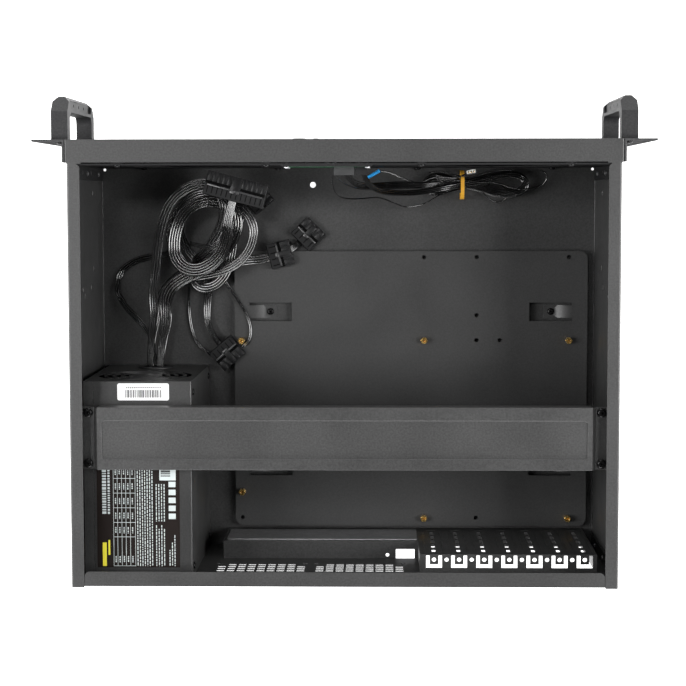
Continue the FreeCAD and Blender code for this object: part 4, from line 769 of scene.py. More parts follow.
@dataclass(frozen=True)
class SupplyLabel:
    """The rating label's table and columns, as plain fields with no words in them, in millimetres."""

    margin: float = 1.0
    notes: tuple[tuple[float, float, int], ...] = ((4.2, 3.2, 3), (8.6, 1.7, 8))
    table: float = 13.0
    columns: tuple[float, ...] = (0.0, 3.2, 6.6, 9.9, 13.4, 17.4)
    rows: tuple[float, ...] = (0.0, 23.4, 35.0, 46.8, 58.6, 70.4)
    rule: float = 0.3
    row_rule: float = 0.35
    line: float = 0.72
    marks: int = 5
    mark_pitch: float = 6.4

    def grid(self, white: Ink, sheet: Sheet) -> None:
        """Draws the table's rules, and a strip of dashes in each of its cells.

        Args:
            white: The print.
            sheet: The label's printed part.
        """
        for column in self.columns:
            white.field(sheet.x(self.table + column, self.rule), sheet.y(0))
        for row in self.rows:
            white.field(sheet.x(self.table, self.columns[-1] + 0.45), sheet.y(row, row + self.row_rule))
        for k, column in enumerate(self.columns[:-1]):
            for j, row in enumerate(self.rows):
                white.dashes(sheet.x(self.table + column + 1.4, 0.9), sheet.y(row + 3, row + 8), 0.9 * MM,
                             0.5 * MM, 5 * k + j)

    def text(self, white: Ink, sheet: Sheet) -> None:
        """Draws the long lines, then two blocks of shorter ones, then three lines of growing length.

        Args:
            white: The print.
            sheet: The label's printed part.
        """
        for k in range(7):
            white.dashes(sheet.x(32 + k * 1.95, self.line), sheet.y(0), 1.7 * MM, 0.75 * MM, 17 + k)
        for k in range(4):
            strip = sheet.x(47 + k * 2.1, self.line)
            white.dashes(strip, sheet.y(0, 33 - 3 * (k % 2)), 1.6 * MM, 0.7 * MM, 40 + k)
            white.dashes(strip, sheet.y(36, 66), 1.6 * MM, 0.7 * MM, 50 + k)
        for k in range(3):
            white.dashes(sheet.x(57.6 + k * 2, self.line), sheet.y(0, 13 + 6 * k), 1.4 * MM, 0.7 * MM, 60 + k)

    def make(self) -> None:
        """Builds the white, yellow and dark fields."""
        low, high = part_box("rating_label")
        sheet = Sheet(high.x, high.y - self.margin * MM, low.y + self.margin * MM)
        white = Ink("label_white", Coat.ink_white, high.z, "label_print")
        yellow = Ink("label_yellow", Coat.ink_yellow, high.z, "label_print")
        for start, wide, seed in self.notes:
            white.dashes(sheet.x(start, wide), sheet.y(42), 1.2 * MM, 0.8 * MM, seed)
        yellow.field(sheet.x(4.2, 3.2), sheet.y(0, 19))
        yellow.field(sheet.x(8.8, 1.4), sheet.y(9, 21))
        self.grid(white, sheet)
        self.text(white, sheet)
        for k in range(self.marks):
            start = 38 + k * self.mark_pitch
            white.field(sheet.x(57.2, 5.6), sheet.y(start, start + 4.4))
        white.field(sheet.x(50, 13), sheet.y(69))
        white.done()
        yellow.done()
        bars = Ink("label_bars", Coat.ink_black, high.z + 0.04 * MM, "label_print")
        self.code(bars, sheet.x(51, 7.6), (sheet.front + 2 * MM, sheet.back - 71 * MM))
        bars.done()

    @staticmethod
    def code(ink: Ink, x: tuple[float, float], y: tuple[float, float]) -> None:
        """Fills a field with bars of uneven width across Y.

        Args:
            ink: The print.
            x: The field's two X.
            y: The field's two Y.
        """
        at, step = y[0], 7
        while at < y[1] - 1.2 * MM:
            step = (step * 29 + 5) % 97
            wide = (0.3 + 0.55 * (step % 3)) * MM
            ink.field(x, (at, at + wide))
            at += wide + (0.35 + 0.4 * (step % 2)) * MM


@dataclass(frozen=True)
class BarSticker:
    """The small white sticker's bars and the line of dots under them."""

    def make(self) -> None:
        """Builds the dark bars."""
        low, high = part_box("code_sticker")
        bars = Ink("sticker_bars", Coat.ink_black, high.z, "sticker_paper")
        at, step = low.x + 6.0 * MM, 3
        while at < high.x - 6.0 * MM:
            step = (step * 31 + 7) % 89
            wide = (0.25 + 0.3 * (step % 3)) * MM
            bars.field((at, at + wide), (low.y + 5.2 * MM, high.y - 2.2 * MM))
            at += wide + (0.3 + 0.3 * (step % 2)) * MM
        at = low.x + 6.0 * MM
        while at < high.x - 6.5 * MM:
            bars.field((at, at + 0.8 * MM), (low.y + 2.6 * MM, low.y + 4.0 * MM))
            at += 1.5 * MM
        bars.done()


# ---------------------------------------------------------------- trim
@dataclass(frozen=True)
class PlugTrim:
    """The moulded detail of one plug: wire collar, socket walls and latch, with painted shade in its groove, collar
    and slots and painted highlights on its rib and latch tip.
    """

    name: str
    middle: Point
    size: Point
    degrees: float
    sockets: int

    def placed(self, part: bmesh.types.BMesh, kind: str, coat: Coat) -> bpy.types.Object:
        """Turns a detail drawn along X about the plug's own middle into place.

        Args:
            part: The detail's bmesh.
            kind: The last word of its name.
            coat: Its finish.

        Returns:
            The piece.
        """
        place = Matrix.Translation(Vector(self.middle) * MM) @ Matrix.Rotation(math.radians(self.degrees), 4, "Z")
        bmesh.ops.transform(part, matrix=place, verts=part.verts)
        return built(f"{self.name}_{kind}", part, coat)

    def make(self) -> None:
        """Builds the trim of one plug."""
        long, wide, high = (value * MM for value in self.size)
        top = high / 2
        pitch = wide * 0.96 / self.sockets
        dark, plain, painted_highlight = bmesh.new(), bmesh.new(), bmesh.new()
        # The dark pieces (a groove across the top, the collar at the wire end and a narrow slot at each socket) are
        # painted shade: the same black plastic made blacker and duller so that they read as shadowed gaps.
        add_block(dark, (-long * 0.02, 0, top + 0.05 * MM), (long * 0.12, wide * 0.97, 0.3 * MM))
        add_block(dark, (long * 0.49, 0, 0), (long * 0.06, wide * 0.94, high * 0.8), None, 0.3 * MM)
        for k in range(self.sockets):
            y = (k - (self.sockets - 1) / 2) * pitch
            add_block(plain, (-long * 0.28, y, top + 0.2 * MM), (long * 0.4, pitch * 0.76, 0.6 * MM), None, 0.2 * MM)
            add_block(dark, (long * 0.27, y, top + 0.1 * MM), (long * 0.3, pitch * 0.16, 0.4 * MM))
        # The rib across the top and the latch's tip are painted highlight: a lighter, shinier copy of the plug's
        # plastic.
        add_block(painted_highlight, (long * 0.08, 0, top + 0.25 * MM), (long * 0.07, wide * 0.92, 0.5 * MM), None, 0.15 * MM)
        lever = max(5.0 * MM, wide * 0.16)
        add_block(plain, (-long * 0.12, 0, top + 0.9 * MM), (long * 0.62, lever, 0.9 * MM), None, 0.3 * MM)
        add_block(painted_highlight, (long * 0.14, 0, top + 1.3 * MM), (long * 0.14, lever * 0.9, 0.8 * MM), None, 0.3 * MM)
        # The shade piece carries the painted shade and the ribs piece the painted highlight.
        self.placed(dark, "shade", Coat.plug_shade)
        self.placed(plain, "walls", Coat.plug_black)
        self.placed(painted_highlight, "ribs", Coat.plug_bright)


PLUG_TRIMS = (
    PlugTrim("main_plug_trim", (92.0, -120.5, 65.3), (20.0, 51.6, 9.8), 75, 12),
    PlugTrim("cpu_plug_trim", (76.8, -112.1, 6.7), (20.0, 18.4, 9.8), 40, 4),
    PlugTrim("near_plug_trim", (57.8, -64.9, 12.9), (20.0, 22.0, 7.0), 15, 4),
    PlugTrim("far_plug_trim", (34.3, -82.5, 5.1), (20.0, 22.0, 7.0), 45, 4),
    PlugTrim("side_plug_trim", (104.0, 20.5, 12.9), (20.0, 24.0, 7.0), -48.8, 5),
)


@dataclass(frozen=True)
class Seams:
    """Thin fillers in the seams that show as hairlines: round the tear-out covers and beside the front panel."""

    first_slot: float = -71.8
    pitch: float = 20.32
    slots: int = 7
    half_cover: float = 7.2
    slit_y: float = 175.3
    slit_z: tuple[tuple[float, float], ...] = ((18.1, 65.4), (68.6, 115.9))
    strip: tuple[float, float] = (0.62, 0.7)
    seam_y: tuple[float, float] = (-140.8, -139.9)
    flange: tuple[float, float, float, float] = (208.5, 176.5, 11.0, 1.0)
    wall: tuple[float, float, float, float] = (213.5, 88.0, 1.0, 176.0)

    def slits(self) -> None:
        """Builds the strips that narrow the slits beside each cover."""
        shape = bmesh.new()
        for k in range(self.slots):
            for side in (-1, 1):
                x = self.first_slot - k * self.pitch + side * self.half_cover
                for low, high in self.slit_z:
                    add_block(shape, Vector((x, self.slit_y, (low + high) / 2)) * MM,
                              Vector((*self.strip, high - low)) * MM)
        built("cover_seams", shape, Coat.case_steel)

    def front(self) -> None:
        """Builds the strips along the floor, the flanges and the walls behind the front panel."""
        shape = bmesh.new()
        y = sum(self.seam_y) / 2
        deep = self.seam_y[1] - self.seam_y[0]
        add_block(shape, Vector((0.0, y, 0.5)) * MM, Vector((425.0, deep, 1.0)) * MM)
        for side in (-1, 1):
            for x, z, wide, high in (self.flange, self.wall):
                add_block(shape, Vector((side * x, y, z)) * MM, Vector((wide, deep, high)) * MM)
        built("front_seams", shape, Coat.case_steel)

    def make(self) -> None:
        """Builds the fillers."""
        self.slits()
        self.front()


# ---------------------------------------------------------------- leads
def new_curve(name: str) -> bpy.types.Curve:
    """Starts an empty curve in space.

    Args:
        name: The curve's name.

    Returns:
        The curve.
    """
    curve = bpy.data.curves.new(name, "CURVE")
    curve.dimensions = "3D"
    return curve


def add_spline(curve: bpy.types.Curve, kind: str, points: Sequence[Point | Vector]) -> bpy.types.Spline:
    """Adds a spline of a kind with these points to a curve.

    Args:
        curve: The curve.
        kind: The sort of spline.
        points: Its points, in metres.

    Returns:
        The spline.
    """
    spline = curve.splines.new(kind)
    spline.points.add(len(points) - 1)
    for at, point in zip(spline.points, points):
        at.co = (*point, 1.0)
    return spline


def mesh_of(curve: bpy.types.Curve) -> bpy.types.Mesh:
    """Turns a curve into a mesh, and removes the curve.

    Args:
        curve: The curve.

    Returns:
        The mesh.
    """
    bare = bpy.data.objects.new(curve.name, curve)
    mesh = bpy.data.meshes.new_from_object(bare)
    bpy.data.objects.remove(bare)
    bpy.data.curves.remove(curve)
    return mesh


def smooth_line(name: str, points: Sequence[Point], resolution: int = 10) -> list[Vector]:
    """Draws one smooth curve by its control points.

    Args:
        name: A name for the passing curve.
        points: The route's control points.
        resolution: Points per span.

    Returns:
        Points along the curve.
    """
    curve = new_curve(name)
    spline = add_spline(curve, "NURBS", points)
    spline.order_u = 3
    spline.use_endpoint_u = True
    spline.resolution_u = resolution
    mesh = mesh_of(curve)
    line = [v.co.copy() for v in mesh.vertices]
    bpy.data.meshes.remove(mesh)
    return line


def sides_of(line: Sequence[Vector], roll: float, waves: float) -> list[tuple[Vector, Vector]]:
    """Works out which way a flat lead's width and thickness point along it.

    Args:
        line: The centreline.
        roll: Most that the ribbon leans, in degrees.
        waves: Leans from one side to the other, per metre.

    Returns:
        The width's and the thickness's direction at each point.
    """
    found: list[tuple[Vector, Vector]] = []
    side = Vector((1, 0, 0))
    travelled = 0.0
    for i, here in enumerate(line):
        ahead = line[min(i + 1, len(line) - 1)] - line[max(i - 1, 0)]
        ahead.normalize()
        flat = ahead.cross(Vector((0, 0, 1)))
        if flat.dot(side) < 0:
            flat.negate()
        side = (side * 2.0 + flat).normalized() if i else flat.normalized()
        side = (side - ahead * side.dot(ahead)).normalized()
        if i:
            travelled += (here - line[i - 1]).length
        lean = Matrix.Rotation(math.radians(roll) * math.sin(math.tau * waves * travelled), 3, ahead)
        wide = lean @ side
        found.append((wide, ahead.cross(wide).normalized()))
    return found


@dataclass(frozen=True)
class Wires:
    """How a lead's wires lie together: so many across, in so many layers."""

    across: int
    layers: int
    wire: float = 1.9 * MM
    pitch: float = 2.15 * MM
    fan: float = 0.0
    roll: float = 12.0
    waves: float = 9.0
    bunch: tuple[float, float] = (0.45, 0.55)

    def strands(self, line: Sequence[Vector]) -> list[list[Vector]]:
        """Runs each wire beside the centreline.

        Args:
            line: The lead's centreline.

        Returns:
            One line of points per wire.
        """
        frames = sides_of(line, self.roll, self.waves)
        last = len(line) - 1
        found = []
        for layer in range(self.layers):
            up = (layer - (self.layers - 1) / 2) * self.pitch * 0.92
            shift = (layer - (self.layers - 1) / 2) * self.fan
            for k in range(self.across):
                out = (k - (self.across - 1) / 2) * self.pitch
                strand = []
                for i, (here, (wide, thick)) in enumerate(zip(line, frames)):
                    ends = min(1.0, min(i, last - i) / (0.12 * last))
                    squeeze = self.bunch[0 if i < last / 2 else 1]
                    spread = squeeze + (1 - squeeze) * ends
                    strand.append(here + wide * (out * spread + shift * ends) + thick * up)
                found.append(strand)
        return found


@dataclass(frozen=True)
class Lead:
    """One free lead: its route, its wires and what is on its ends."""

    name: str
    route: tuple[Point, ...]
    length: float
    diameter: float
    wires: Wires
    far_end: str
    nodes: tuple[str, ...]
    pieces: tuple[str, ...] = ()
    lay: str = "coiled"
    stiffness: str = "limp"
    coat: Coat = Coat.lead_black

    def make(self) -> bpy.types.Object:
        """Builds the lead's wires as one piece.

        Returns:
            The cord.
        """
        line = smooth_line(self.name, self.route)
        curve = new_curve(self.name)
        curve.bevel_depth = self.wires.wire / 2
        curve.bevel_resolution = 3
        curve.use_fill_caps = True
        for strand in self.wires.strands(line):
            add_spline(curve, "POLY", strand)
        mesh = mesh_of(curve)
        mesh.shade_smooth()
        piece = landed(self.name, mesh, self.coat)
        if self.nodes:
            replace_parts(piece, *self.nodes)
        return piece


MAIN_ROUTE = (
    (0.1601, 0.03, 0.0355), (0.159, 0.0115, 0.036), (0.1545, -0.0095, 0.038), (0.1548, -0.0261, 0.0395),
    (0.1498, -0.0381, 0.041), (0.1387, -0.0458, 0.042), (0.1233, -0.0526, 0.043), (0.1078, -0.0641, 0.045),
    (0.0961, -0.0788, 0.0465), (0.0922, -0.0928, 0.0475), (0.0966, -0.1046, 0.048), (0.108, -0.1108, 0.048),
    (0.1219, -0.1113, 0.048), (0.1337, -0.105, 0.048), (0.1423, -0.0929, 0.048), (0.1462, -0.0781, 0.0485),
    (0.1454, -0.0643, 0.049), (0.1381, -0.0546, 0.05), (0.1262, -0.0519, 0.0515), (0.1138, -0.0574, 0.054),
    (0.1043, -0.0682, 0.058), (0.0994, -0.0817, 0.0625), (0.0985, -0.0965, 0.0653), (0.0946, -0.1108, 0.0653))
CPU_ROUTE = (
    (0.1685, 0.03, 0.0355), (0.168, 0.0095, 0.0375), (0.164, -0.0125, 0.041), (0.1649, -0.0289, 0.043),
    (0.162, -0.051, 0.046), (0.1597, -0.0714, 0.049), (0.1558, -0.0916, 0.052), (0.1482, -0.11, 0.054),
    (0.1354, -0.1217, 0.055), (0.1202, -0.1263, 0.055), (0.1083, -0.1217, 0.054), (0.1031, -0.1091, 0.0525),
    (0.1038, -0.0949, 0.05), (0.1105, -0.0805, 0.046), (0.1202, -0.0686, 0.042), (0.1303, -0.0574, 0.036),
    (0.1338, -0.0452, 0.028), (0.1273, -0.0359, 0.021), (0.1147, -0.0371, 0.016), (0.1049, -0.0479, 0.0125),
    (0.1008, -0.0634, 0.0105), (0.0983, -0.0797, 0.0085), (0.0943, -0.099, 0.0067), (0.0845, -0.1057, 0.0067))
DRIVE_ROUTE = (
    (0.1601, 0.03, 0.0271), (0.1585, 0.0115, 0.026), (0.153, -0.0085, 0.025), (0.1561, -0.0228, 0.026),
    (0.1494, -0.0367, 0.03), (0.1365, -0.0451, 0.034), (0.1191, -0.0482, 0.038), (0.1008, -0.0529, 0.042),
    (0.0861, -0.0628, 0.046), (0.0782, -0.0772, 0.049), (0.0785, -0.0923, 0.05), (0.0872, -0.1057, 0.05),
    (0.1015, -0.1141, 0.05), (0.1168, -0.117, 0.048), (0.1307, -0.1117, 0.044), (0.1399, -0.0998, 0.038),
    (0.1424, -0.0845, 0.032), (0.138, -0.0707, 0.026), (0.1293, -0.0594, 0.02), (0.1223, -0.0471, 0.0135),
    (0.12, -0.0355, 0.008), (0.123, -0.0165, 0.006), (0.1205, 0.0015, 0.0085), (0.1106, 0.013, 0.0128))
SPARE_ROUTE = (
    (0.1685, 0.03, 0.0271), (0.168, 0.0095, 0.026), (0.1635, -0.0115, 0.024), (0.1628, -0.0261, 0.023),
    (0.1546, -0.04, 0.026), (0.1401, -0.0505, 0.032), (0.123, -0.061, 0.04), (0.1064, -0.0729, 0.045),
    (0.0935, -0.0864, 0.047), (0.0884, -0.1007, 0.046), (0.0952, -0.1124, 0.044), (0.1107, -0.1167, 0.041),
    (0.1271, -0.1133, 0.038), (0.1403, -0.1032, 0.034), (0.1477, -0.0879, 0.03), (0.1483, -0.0708, 0.026),
    (0.1401, -0.0553, 0.024), (0.1237, -0.0485, 0.025), (0.1064, -0.0503, 0.027), (0.094, -0.059, 0.02),
    (0.081, -0.0599, 0.014), (0.068, -0.0621, 0.0129), (0.0578, -0.0649, 0.0129), (0.047, -0.07, 0.011),
    (0.0414, -0.0754, 0.0055))
SIDE_ROUTE = (
    (0.1643, 0.03, 0.0313), (0.165, 0.0145, 0.0313), (0.1705, 0.0, 0.03), (0.1805, -0.01, 0.025),
    (0.1915, -0.0195, 0.017), (0.2005, -0.0325, 0.0085), (0.199, -0.0485, 0.0035), (0.186, -0.059, 0.0035),
    (0.1705, -0.063, 0.004), (0.158, -0.064, 0.0085), (0.149, -0.069, 0.017), (0.1532, -0.0776, 0.028),
    (0.1493, -0.0948, 0.038), (0.1398, -0.1092, 0.046), (0.1257, -0.1175, 0.051), (0.1104, -0.1183, 0.053),
    (0.0995, -0.1108, 0.053), (0.0947, -0.0974, 0.052), (0.0983, -0.084, 0.05), (0.1087, -0.0747, 0.047),
    (0.1218, -0.0712, 0.043), (0.1333, -0.0753, 0.038))
LOOP_NEAR_ROUTE = (
    (0.1363, -0.0455, 0.011), (0.138, -0.0335, 0.0065), (0.1384, -0.019, 0.0034), (0.137, -0.003, 0.0031),
    (0.1325, 0.0115, 0.0031), (0.1225, 0.0215, 0.005), (0.1094, 0.0257, 0.0095))
LOOP_FAR_ROUTE = (
    (0.0985, 0.0165, 0.0124), (0.088, 0.015, 0.0116), (0.0835, 0.0045, 0.0109), (0.0855, -0.009, 0.0108),
    (0.0925, -0.0215, 0.0108), (0.1005, -0.033, 0.0114), (0.107, -0.0435, 0.0125), (0.1115, -0.052, 0.0135))


FRONT_ROUTE = (
    (-0.0001, -0.1341, 0.1516), (-0.0001, -0.1341, 0.139), (-0.003, -0.1295, 0.122), (-0.008, -0.1245, 0.1),
    (-0.016, -0.1225, 0.076), (-0.029, -0.1235, 0.053), (-0.047, -0.1245, 0.034), (-0.068, -0.1235, 0.022),
    (-0.086, -0.124, 0.02), (-0.099, -0.1245, 0.02), (-0.113, -0.1215, 0.02), (-0.129, -0.1165, 0.019),
    (-0.143, -0.117, 0.018), (-0.1525, -0.123, 0.017), (-0.151, -0.13, 0.016), (-0.14, -0.1335, 0.015),
    (-0.124, -0.132, 0.014), (-0.11, -0.1275, 0.014), (-0.099, -0.1255, 0.014), (-0.087, -0.128, 0.013),
    (-0.076, -0.1315, 0.012), (-0.068, -0.129, 0.012), (-0.0665, -0.122, 0.011), (-0.074, -0.1175, 0.01),
    (-0.085, -0.12, 0.009), (-0.099, -0.1245, 0.008), (-0.112, -0.123, 0.0075), (-0.125, -0.119, 0.007))
USB_ROUTE = (
    (-0.0141, -0.1343, 0.1515), (-0.0141, -0.1343, 0.14), (-0.0175, -0.1265, 0.124), (-0.023, -0.1205, 0.102),
    (-0.033, -0.1175, 0.076), (-0.047, -0.117, 0.052), (-0.064, -0.118, 0.033), (-0.082, -0.1215, 0.024),
    (-0.099, -0.124, 0.022), (-0.115, -0.1265, 0.021), (-0.13, -0.131, 0.02), (-0.143, -0.133, 0.019),
    (-0.153, -0.128, 0.018), (-0.153, -0.12, 0.016), (-0.142, -0.115, 0.014), (-0.127, -0.116, 0.012),
    (-0.112, -0.121, 0.011), (-0.099, -0.1235, 0.01), (-0.086, -0.1195, 0.01), (-0.075, -0.1165, 0.01),
    (-0.0665, -0.12, 0.009), (-0.066, -0.128, 0.008), (-0.075, -0.133, 0.007), (-0.088, -0.13, 0.006),
    (-0.099, -0.1255, 0.0055), (-0.111, -0.123, 0.005), (-0.123, -0.125, 0.0045))

PORT_WIRE_A = (
    (0.0072, -0.134, 0.1512), (0.01, -0.131, 0.133), (0.01, -0.12, 0.1), (0.0062, -0.1138, 0.069),
    (-0.0043, -0.112, 0.05), (-0.0165, -0.113, 0.037), (-0.0278, -0.114, 0.03), (-0.04, -0.1085, 0.022),
    (-0.05, -0.105, 0.016), (-0.0605, -0.1062, 0.013), (-0.0689, -0.1096, 0.012), (-0.079, -0.116, 0.012),
    (-0.088, -0.1205, 0.014))
PORT_WIRE_B = (
    (0.0046, -0.1338, 0.1512), (0.0075, -0.132, 0.135), (0.004, -0.1262, 0.105), (-0.0035, -0.1225, 0.08),
    (-0.0115, -0.1203, 0.06), (-0.024, -0.12, 0.042), (-0.04, -0.121, 0.03), (-0.056, -0.1215, 0.023),
    (-0.068, -0.1215, 0.02))
SLEEVE_WIRE = (
    (-0.0175, -0.1338, 0.1512), (-0.016, -0.13, 0.125), (-0.014, -0.1275, 0.09), (-0.0128, -0.1268, 0.06),
    (-0.014, -0.1284, 0.04), (-0.0185, -0.1312, 0.033), (-0.023, -0.1338, 0.0305), (-0.0275, -0.136, 0.028),
    (-0.037, -0.1345, 0.024), (-0.048, -0.129, 0.021), (-0.062, -0.125, 0.019))
TIE_WIRE = (
    (-0.069, -0.1345, 0.03), (-0.079, -0.136, 0.03), (-0.0871, -0.1333, 0.0285), (-0.095, -0.1315, 0.0275),
    (-0.1025, -0.1313, 0.027), (-0.1115, -0.1325, 0.027), (-0.121, -0.1352, 0.028), (-0.13, -0.1368, 0.029),
    (-0.1394, -0.1368, 0.029))
RIGHT_WIRE = (
    (-0.164, -0.1366, 0.023), (-0.169, -0.1345, 0.0225), (-0.17, -0.129, 0.021), (-0.1665, -0.124, 0.0195),
    (-0.16, -0.1212, 0.0185), (-0.15, -0.1203, 0.019), (-0.14, -0.1212, 0.02), (-0.131, -0.1245, 0.0215),
    (-0.122, -0.1265, 0.0225), (-0.109, -0.1262, 0.024))
FRONT_WIRE = (
    (-0.11, -0.123, 0.016), (-0.1186, -0.114, 0.011), (-0.126, -0.1095, 0.0085), (-0.1323, -0.1095, 0.008),
    (-0.1373, -0.114, 0.0095), (-0.1372, -0.1195, 0.013), (-0.131, -0.1235, 0.018))
HEADER_WIRE = (
    (-0.067, -0.128, 0.019), (-0.075, -0.1315, 0.0235), (-0.083, -0.1305, 0.0285), (-0.091, -0.1295, 0.032),
    (-0.0975, -0.1318, 0.033), (-0.1015, -0.1342, 0.033))


@dataclass(frozen=True)
class SupplyLeads:
    """The supply's leads: wound once or twice on the floor, and out to their plugs."""

    def make(self) -> None:
        """Builds every lead of the supply."""
        drive, spare = (Wires(4, 1, wire=1.75 * MM, pitch=2.0 * MM, roll=roll) for roll in (18, 14))
        loop = Wires(2, 1, wire=1.3 * MM, pitch=1.35 * MM)
        leads = [
            Lead("main_wires", MAIN_ROUTE, 0.345, 0.007, Wires(5, 2, fan=0.6 * MM, roll=9, waves=6), "plug",
                 ("main_lead", "lead_hank"), ("main_plug", "main_plug_soft", "main_plug_trim_walls")),
            Lead("cpu_wires", CPU_ROUTE, 0.38, 0.006, Wires(4, 1, roll=14), "plug", ("cpu_lead",),
                 ("cpu_plug", "cpu_plug_soft")),
            Lead("drive_wires", DRIVE_ROUTE, 0.375, 0.005, drive, "plug", ("drive_lead",),
                 ("sata_plug", "sata_plug_soft")),
            Lead("spare_wires", SPARE_ROUTE, 0.39, 0.005, spare, "plug", ("spare_lead",),
                 ("drive_plugs", "drive_plugs_soft")),
            Lead("side_wires", SIDE_ROUTE, 0.318, 0.004, Wires(3, 1, wire=1.7 * MM, pitch=1.9 * MM, roll=12),
                 "object", ("side_lead",)),
            Lead("loop_wires_near", LOOP_NEAR_ROUTE, 0.087, 0.0028, loop, "object", ("loop_lead",), lay="loose"),
            Lead("loop_wires_far", LOOP_FAR_ROUTE, 0.084, 0.0028, loop, "object", (), lay="loose"),
        ]
        for lead in leads:
            piece = lead.make()
            LOG.info("lead %s: %d wires, %d faces", piece.name, lead.wires.across * lead.wires.layers,
                     len(piece.data.polygons))


@dataclass(frozen=True)
class FrontLeads:
    """The front ports' leads, tied in a long hank behind the front wall, and the loose wires round it."""

    sleeve: tuple[Point, Point] = ((-0.0150, -0.1290, 0.0370), (-0.0270, -0.1360, 0.0285))
    header: Point = (-0.1048, -0.1352, 0.0330)
    pins: int = 6
    first_pin: float = 7.4
    pin_pitch: float = 2.54

    def bits(self) -> None:
        """Builds the blue sleeve, the header plug and the port board's row of pins."""
        shape = bmesh.new()
        start, end = map(Vector, self.sleeve)
        turn = (end - start).to_track_quat("Z", "Y").to_matrix().to_4x4()
        bmesh.ops.create_cone(shape, cap_ends=True, segments=20, radius1=1.45 * MM, radius2=1.45 * MM,
                              depth=(end - start).length, matrix=Matrix.Translation((start + end) / 2) @ turn)
        built("wire_sleeve", shape, Coat.sleeve_blue)
        lean = Matrix.Rotation(math.radians(10), 4, "Z")
        shape = bmesh.new()
        add_block(shape, self.header, (7.6 * MM, 3.0 * MM, 2.6 * MM), lean, 0.25 * MM)
        built("header_plug", shape, Coat.housing_white)
        shape = bmesh.new()
        for step in (-2.2, 0.0, 2.2):
            middle = Vector(self.header) + lean @ Vector((step * MM, 0.2 * MM, 1.3 * MM))
            add_block(shape, middle, (1.1 * MM, 1.7 * MM, 0.3 * MM), lean, 0.08 * MM)
        built("header_contacts", shape, Coat.contact_brass)
        shape = bmesh.new()
        for k in range(self.pins):
            middle = ((self.first_pin - self.pin_pitch * k) * MM, -136.6 * MM, 152.6 * MM)
            add_block(shape, middle, (0.8 * MM, 1.6 * MM, 0.8 * MM), None, 0.15 * MM)
        built("port_pins", shape, Coat.plated_steel)

    def make(self) -> None:
        """Builds both leads and the single wires."""
        self.bits()
        Lead("front_wires", FRONT_ROUTE, 0.40, 0.0045, Wires(4, 2, wire=1.3 * MM, pitch=1.4 * MM, roll=25), "object",
             ("front_lead", "front_hank")).make()
        Lead("usb_wires", USB_ROUTE, 0.39, 0.0045, Wires(3, 2, wire=1.5 * MM, pitch=1.55 * MM, roll=25), "object",
             ("usb_lead",)).make()
        one = Wires(1, 1, wire=1.1 * MM)
        for name, route, length in (("port_wire_a", PORT_WIRE_A, 0.2), ("port_wire_b", PORT_WIRE_B, 0.16),
                                    ("sleeve_wire", SLEEVE_WIRE, 0.18), ("tie_wire", TIE_WIRE, 0.073),
                                    ("right_wire", RIGHT_WIRE, 0.075), ("front_wire", FRONT_WIRE, 0.05)):
            Lead(name, route, length, 0.0011, one, "object", (), lay="loose").make()
        Lead("header_wire", HEADER_WIRE, 0.042, 0.0011, one, "plug", (), ("header_plug",), lay="loose").make()


# ---------------------------------------------------------------- studio
MIDDLE = (0.0, 0.0, 0.1)            # what the long lamps aim at


@dataclass(frozen=True)
class SoftBox:
    """One square or long area lamp."""

    name: str
    at: Point
    aim: Point
    size: tuple[float, float]
    power: float

    def make(self) -> None:
        """Adds the lamp."""
        data = bpy.data.lights.new(self.name, "AREA")
        data.shape = "RECTANGLE"
        data.size, data.size_y = self.size
        data.energy = self.power
        turn = (Vector(self.aim) - Vector(self.at)).to_track_quat("-Z", "Y").to_matrix().to_4x4()
        linked(self.name, data).matrix_world = Matrix.Translation(self.at) @ turn


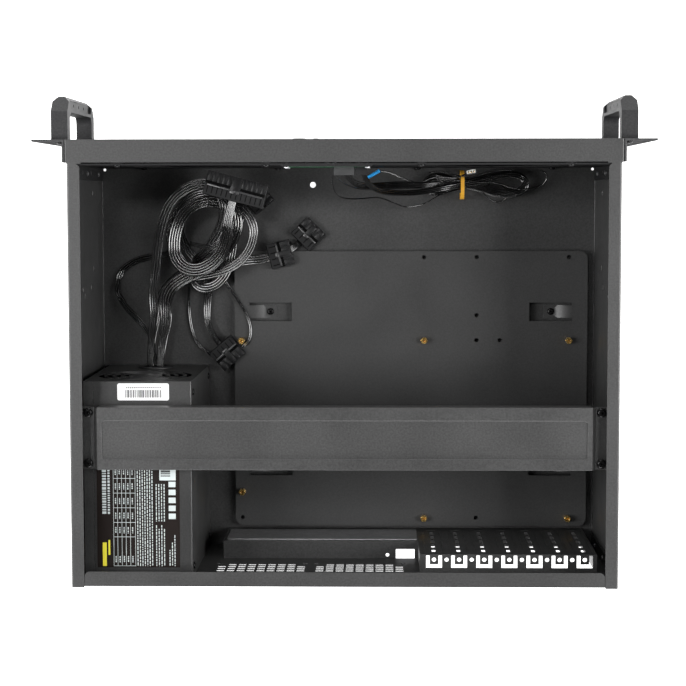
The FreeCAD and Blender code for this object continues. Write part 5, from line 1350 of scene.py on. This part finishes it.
@dataclass(frozen=True)
class Studio:
    """Camera, lamps and a pale floor."""

    eye: Point = (-0.0321, -0.1134, 1.6119)
    ahead: Point = (0.02265, 0.07798, -0.99670)
    right: Point = (-0.99974, 0.0016, -0.0226)
    lens: float = 97.49
    sensor: float = 36.0
    floor: float = 8.0
    floor_glow: float = 0.93
    air: float = 0.03
    boxes: tuple[SoftBox, ...] = (
        SoftBox("right", (-1.2, 0.0, 0.95), MIDDLE, (0.6, 1.6), 38.0),
        SoftBox("left", (1.2, 0.0, 1.0), MIDDLE, (0.6, 1.6), 34.0),
        SoftBox("back", (0.0, 1.7, 0.6), MIDDLE, (1.6, 0.6), 44.0),
        SoftBox("front", (0.0, -1.7, 0.55), MIDDLE, (1.6, 0.6), 18.0),
        SoftBox("spot", (0.25, -0.45, 1.85), (0.1, -0.05, 0.0), (0.16, 0.16), 2.6))

    def camera(self) -> None:
        """Adds the camera above the open top."""
        data = bpy.data.cameras.new("camera")
        data.lens, data.sensor_width = self.lens, self.sensor
        data.clip_start, data.clip_end = 0.05, 30.0
        ahead = Vector(self.ahead).normalized()
        right = Vector(self.right)
        right = (right - ahead * right.dot(ahead)).normalized()
        up = right.cross(ahead)
        camera = linked("camera", data)
        camera.matrix_world = Matrix.Translation(self.eye) @ Matrix((right, up, -ahead)).transposed().to_4x4()
        bpy.context.scene.camera = camera

    def lamps(self) -> None:
        """Adds the soft boxes and the grey air round them."""
        for box in self.boxes:
            box.make()
        world = bpy.data.worlds.new("air")
        world.use_nodes = True
        shade = world.node_tree.nodes["Background"]
        shade.inputs["Color"].default_value = (1, 1, 1, 1)
        shade.inputs["Strength"].default_value = self.air
        bpy.context.scene.world = world

    def ground(self) -> None:
        """Adds the floor: white to the camera and to reflections, and still shaded."""
        shape = bmesh.new()
        bmesh.ops.create_grid(shape, x_segments=1, y_segments=1, size=self.floor / 2,
                              matrix=Matrix.Translation((0, 0, -0.4 * MM)))
        mesh = bpy.data.meshes.new("floor")
        shape.to_mesh(mesh)
        shape.free()
        floor = linked("floor", mesh)
        bench = Bench("floor")
        bench.mottle((0.8, 0.8, 0.8), 0.01, 0.4)
        bench.set(Roughness=0.9, Specular_IOR_Level=0.1)
        rays = bench.node("ShaderNodeLightPath").outputs
        shown = rays["Is Camera Ray"]
        for ray in ("Is Glossy Ray", "Is Transmission Ray"):
            either = bench.node("ShaderNodeMath", operation="MAXIMUM")
            bench.join(shown, either.inputs[0])
            bench.join(rays[ray], either.inputs[1])
            shown = either.outputs[0]
        glow = bench.node("ShaderNodeMath", operation="MULTIPLY")
        glow.inputs[1].default_value = self.floor_glow
        bench.join(shown, glow.inputs[0])
        bench.shader.inputs["Emission Color"].default_value = (1, 1, 1, 1)
        bench.join(glow.outputs[0], bench.shader.inputs["Emission Strength"])
        mesh.materials.append(bench.material)

    def make(self) -> None:
        """Builds the whole studio."""
        scene = bpy.context.scene
        scene.view_settings.view_transform = "Standard"
        self.camera()
        self.lamps()
        self.ground()


# ---------------------------------------------------------------- whole
def carried_coats(record: dict) -> None:
    """Gives every CAD node the finish of its slot.

    Args:
        record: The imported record.
    """
    for part in record["subparts"]:
        dress(bpy.data.objects[part["node"]], Coat[part["material_slot"]])


def main() -> None:
    """Builds the model round the frame."""
    logging.basicConfig(level=logging.INFO, format="%(message)s", stream=sys.stdout)
    for old in list(bpy.data.objects):
        bpy.data.objects.remove(old)
    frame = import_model()
    carried_coats(frame["record"])
    Studio().make()
    for part in (*SHEET_PARTS, *FASTENERS):
        part.make()
    for part in (SupplyLabel(), BarSticker(), *PLUG_TRIMS, Seams(), SupplyLeads(), FrontLeads()):
        part.make()


if __name__ == "__main__":
    main()
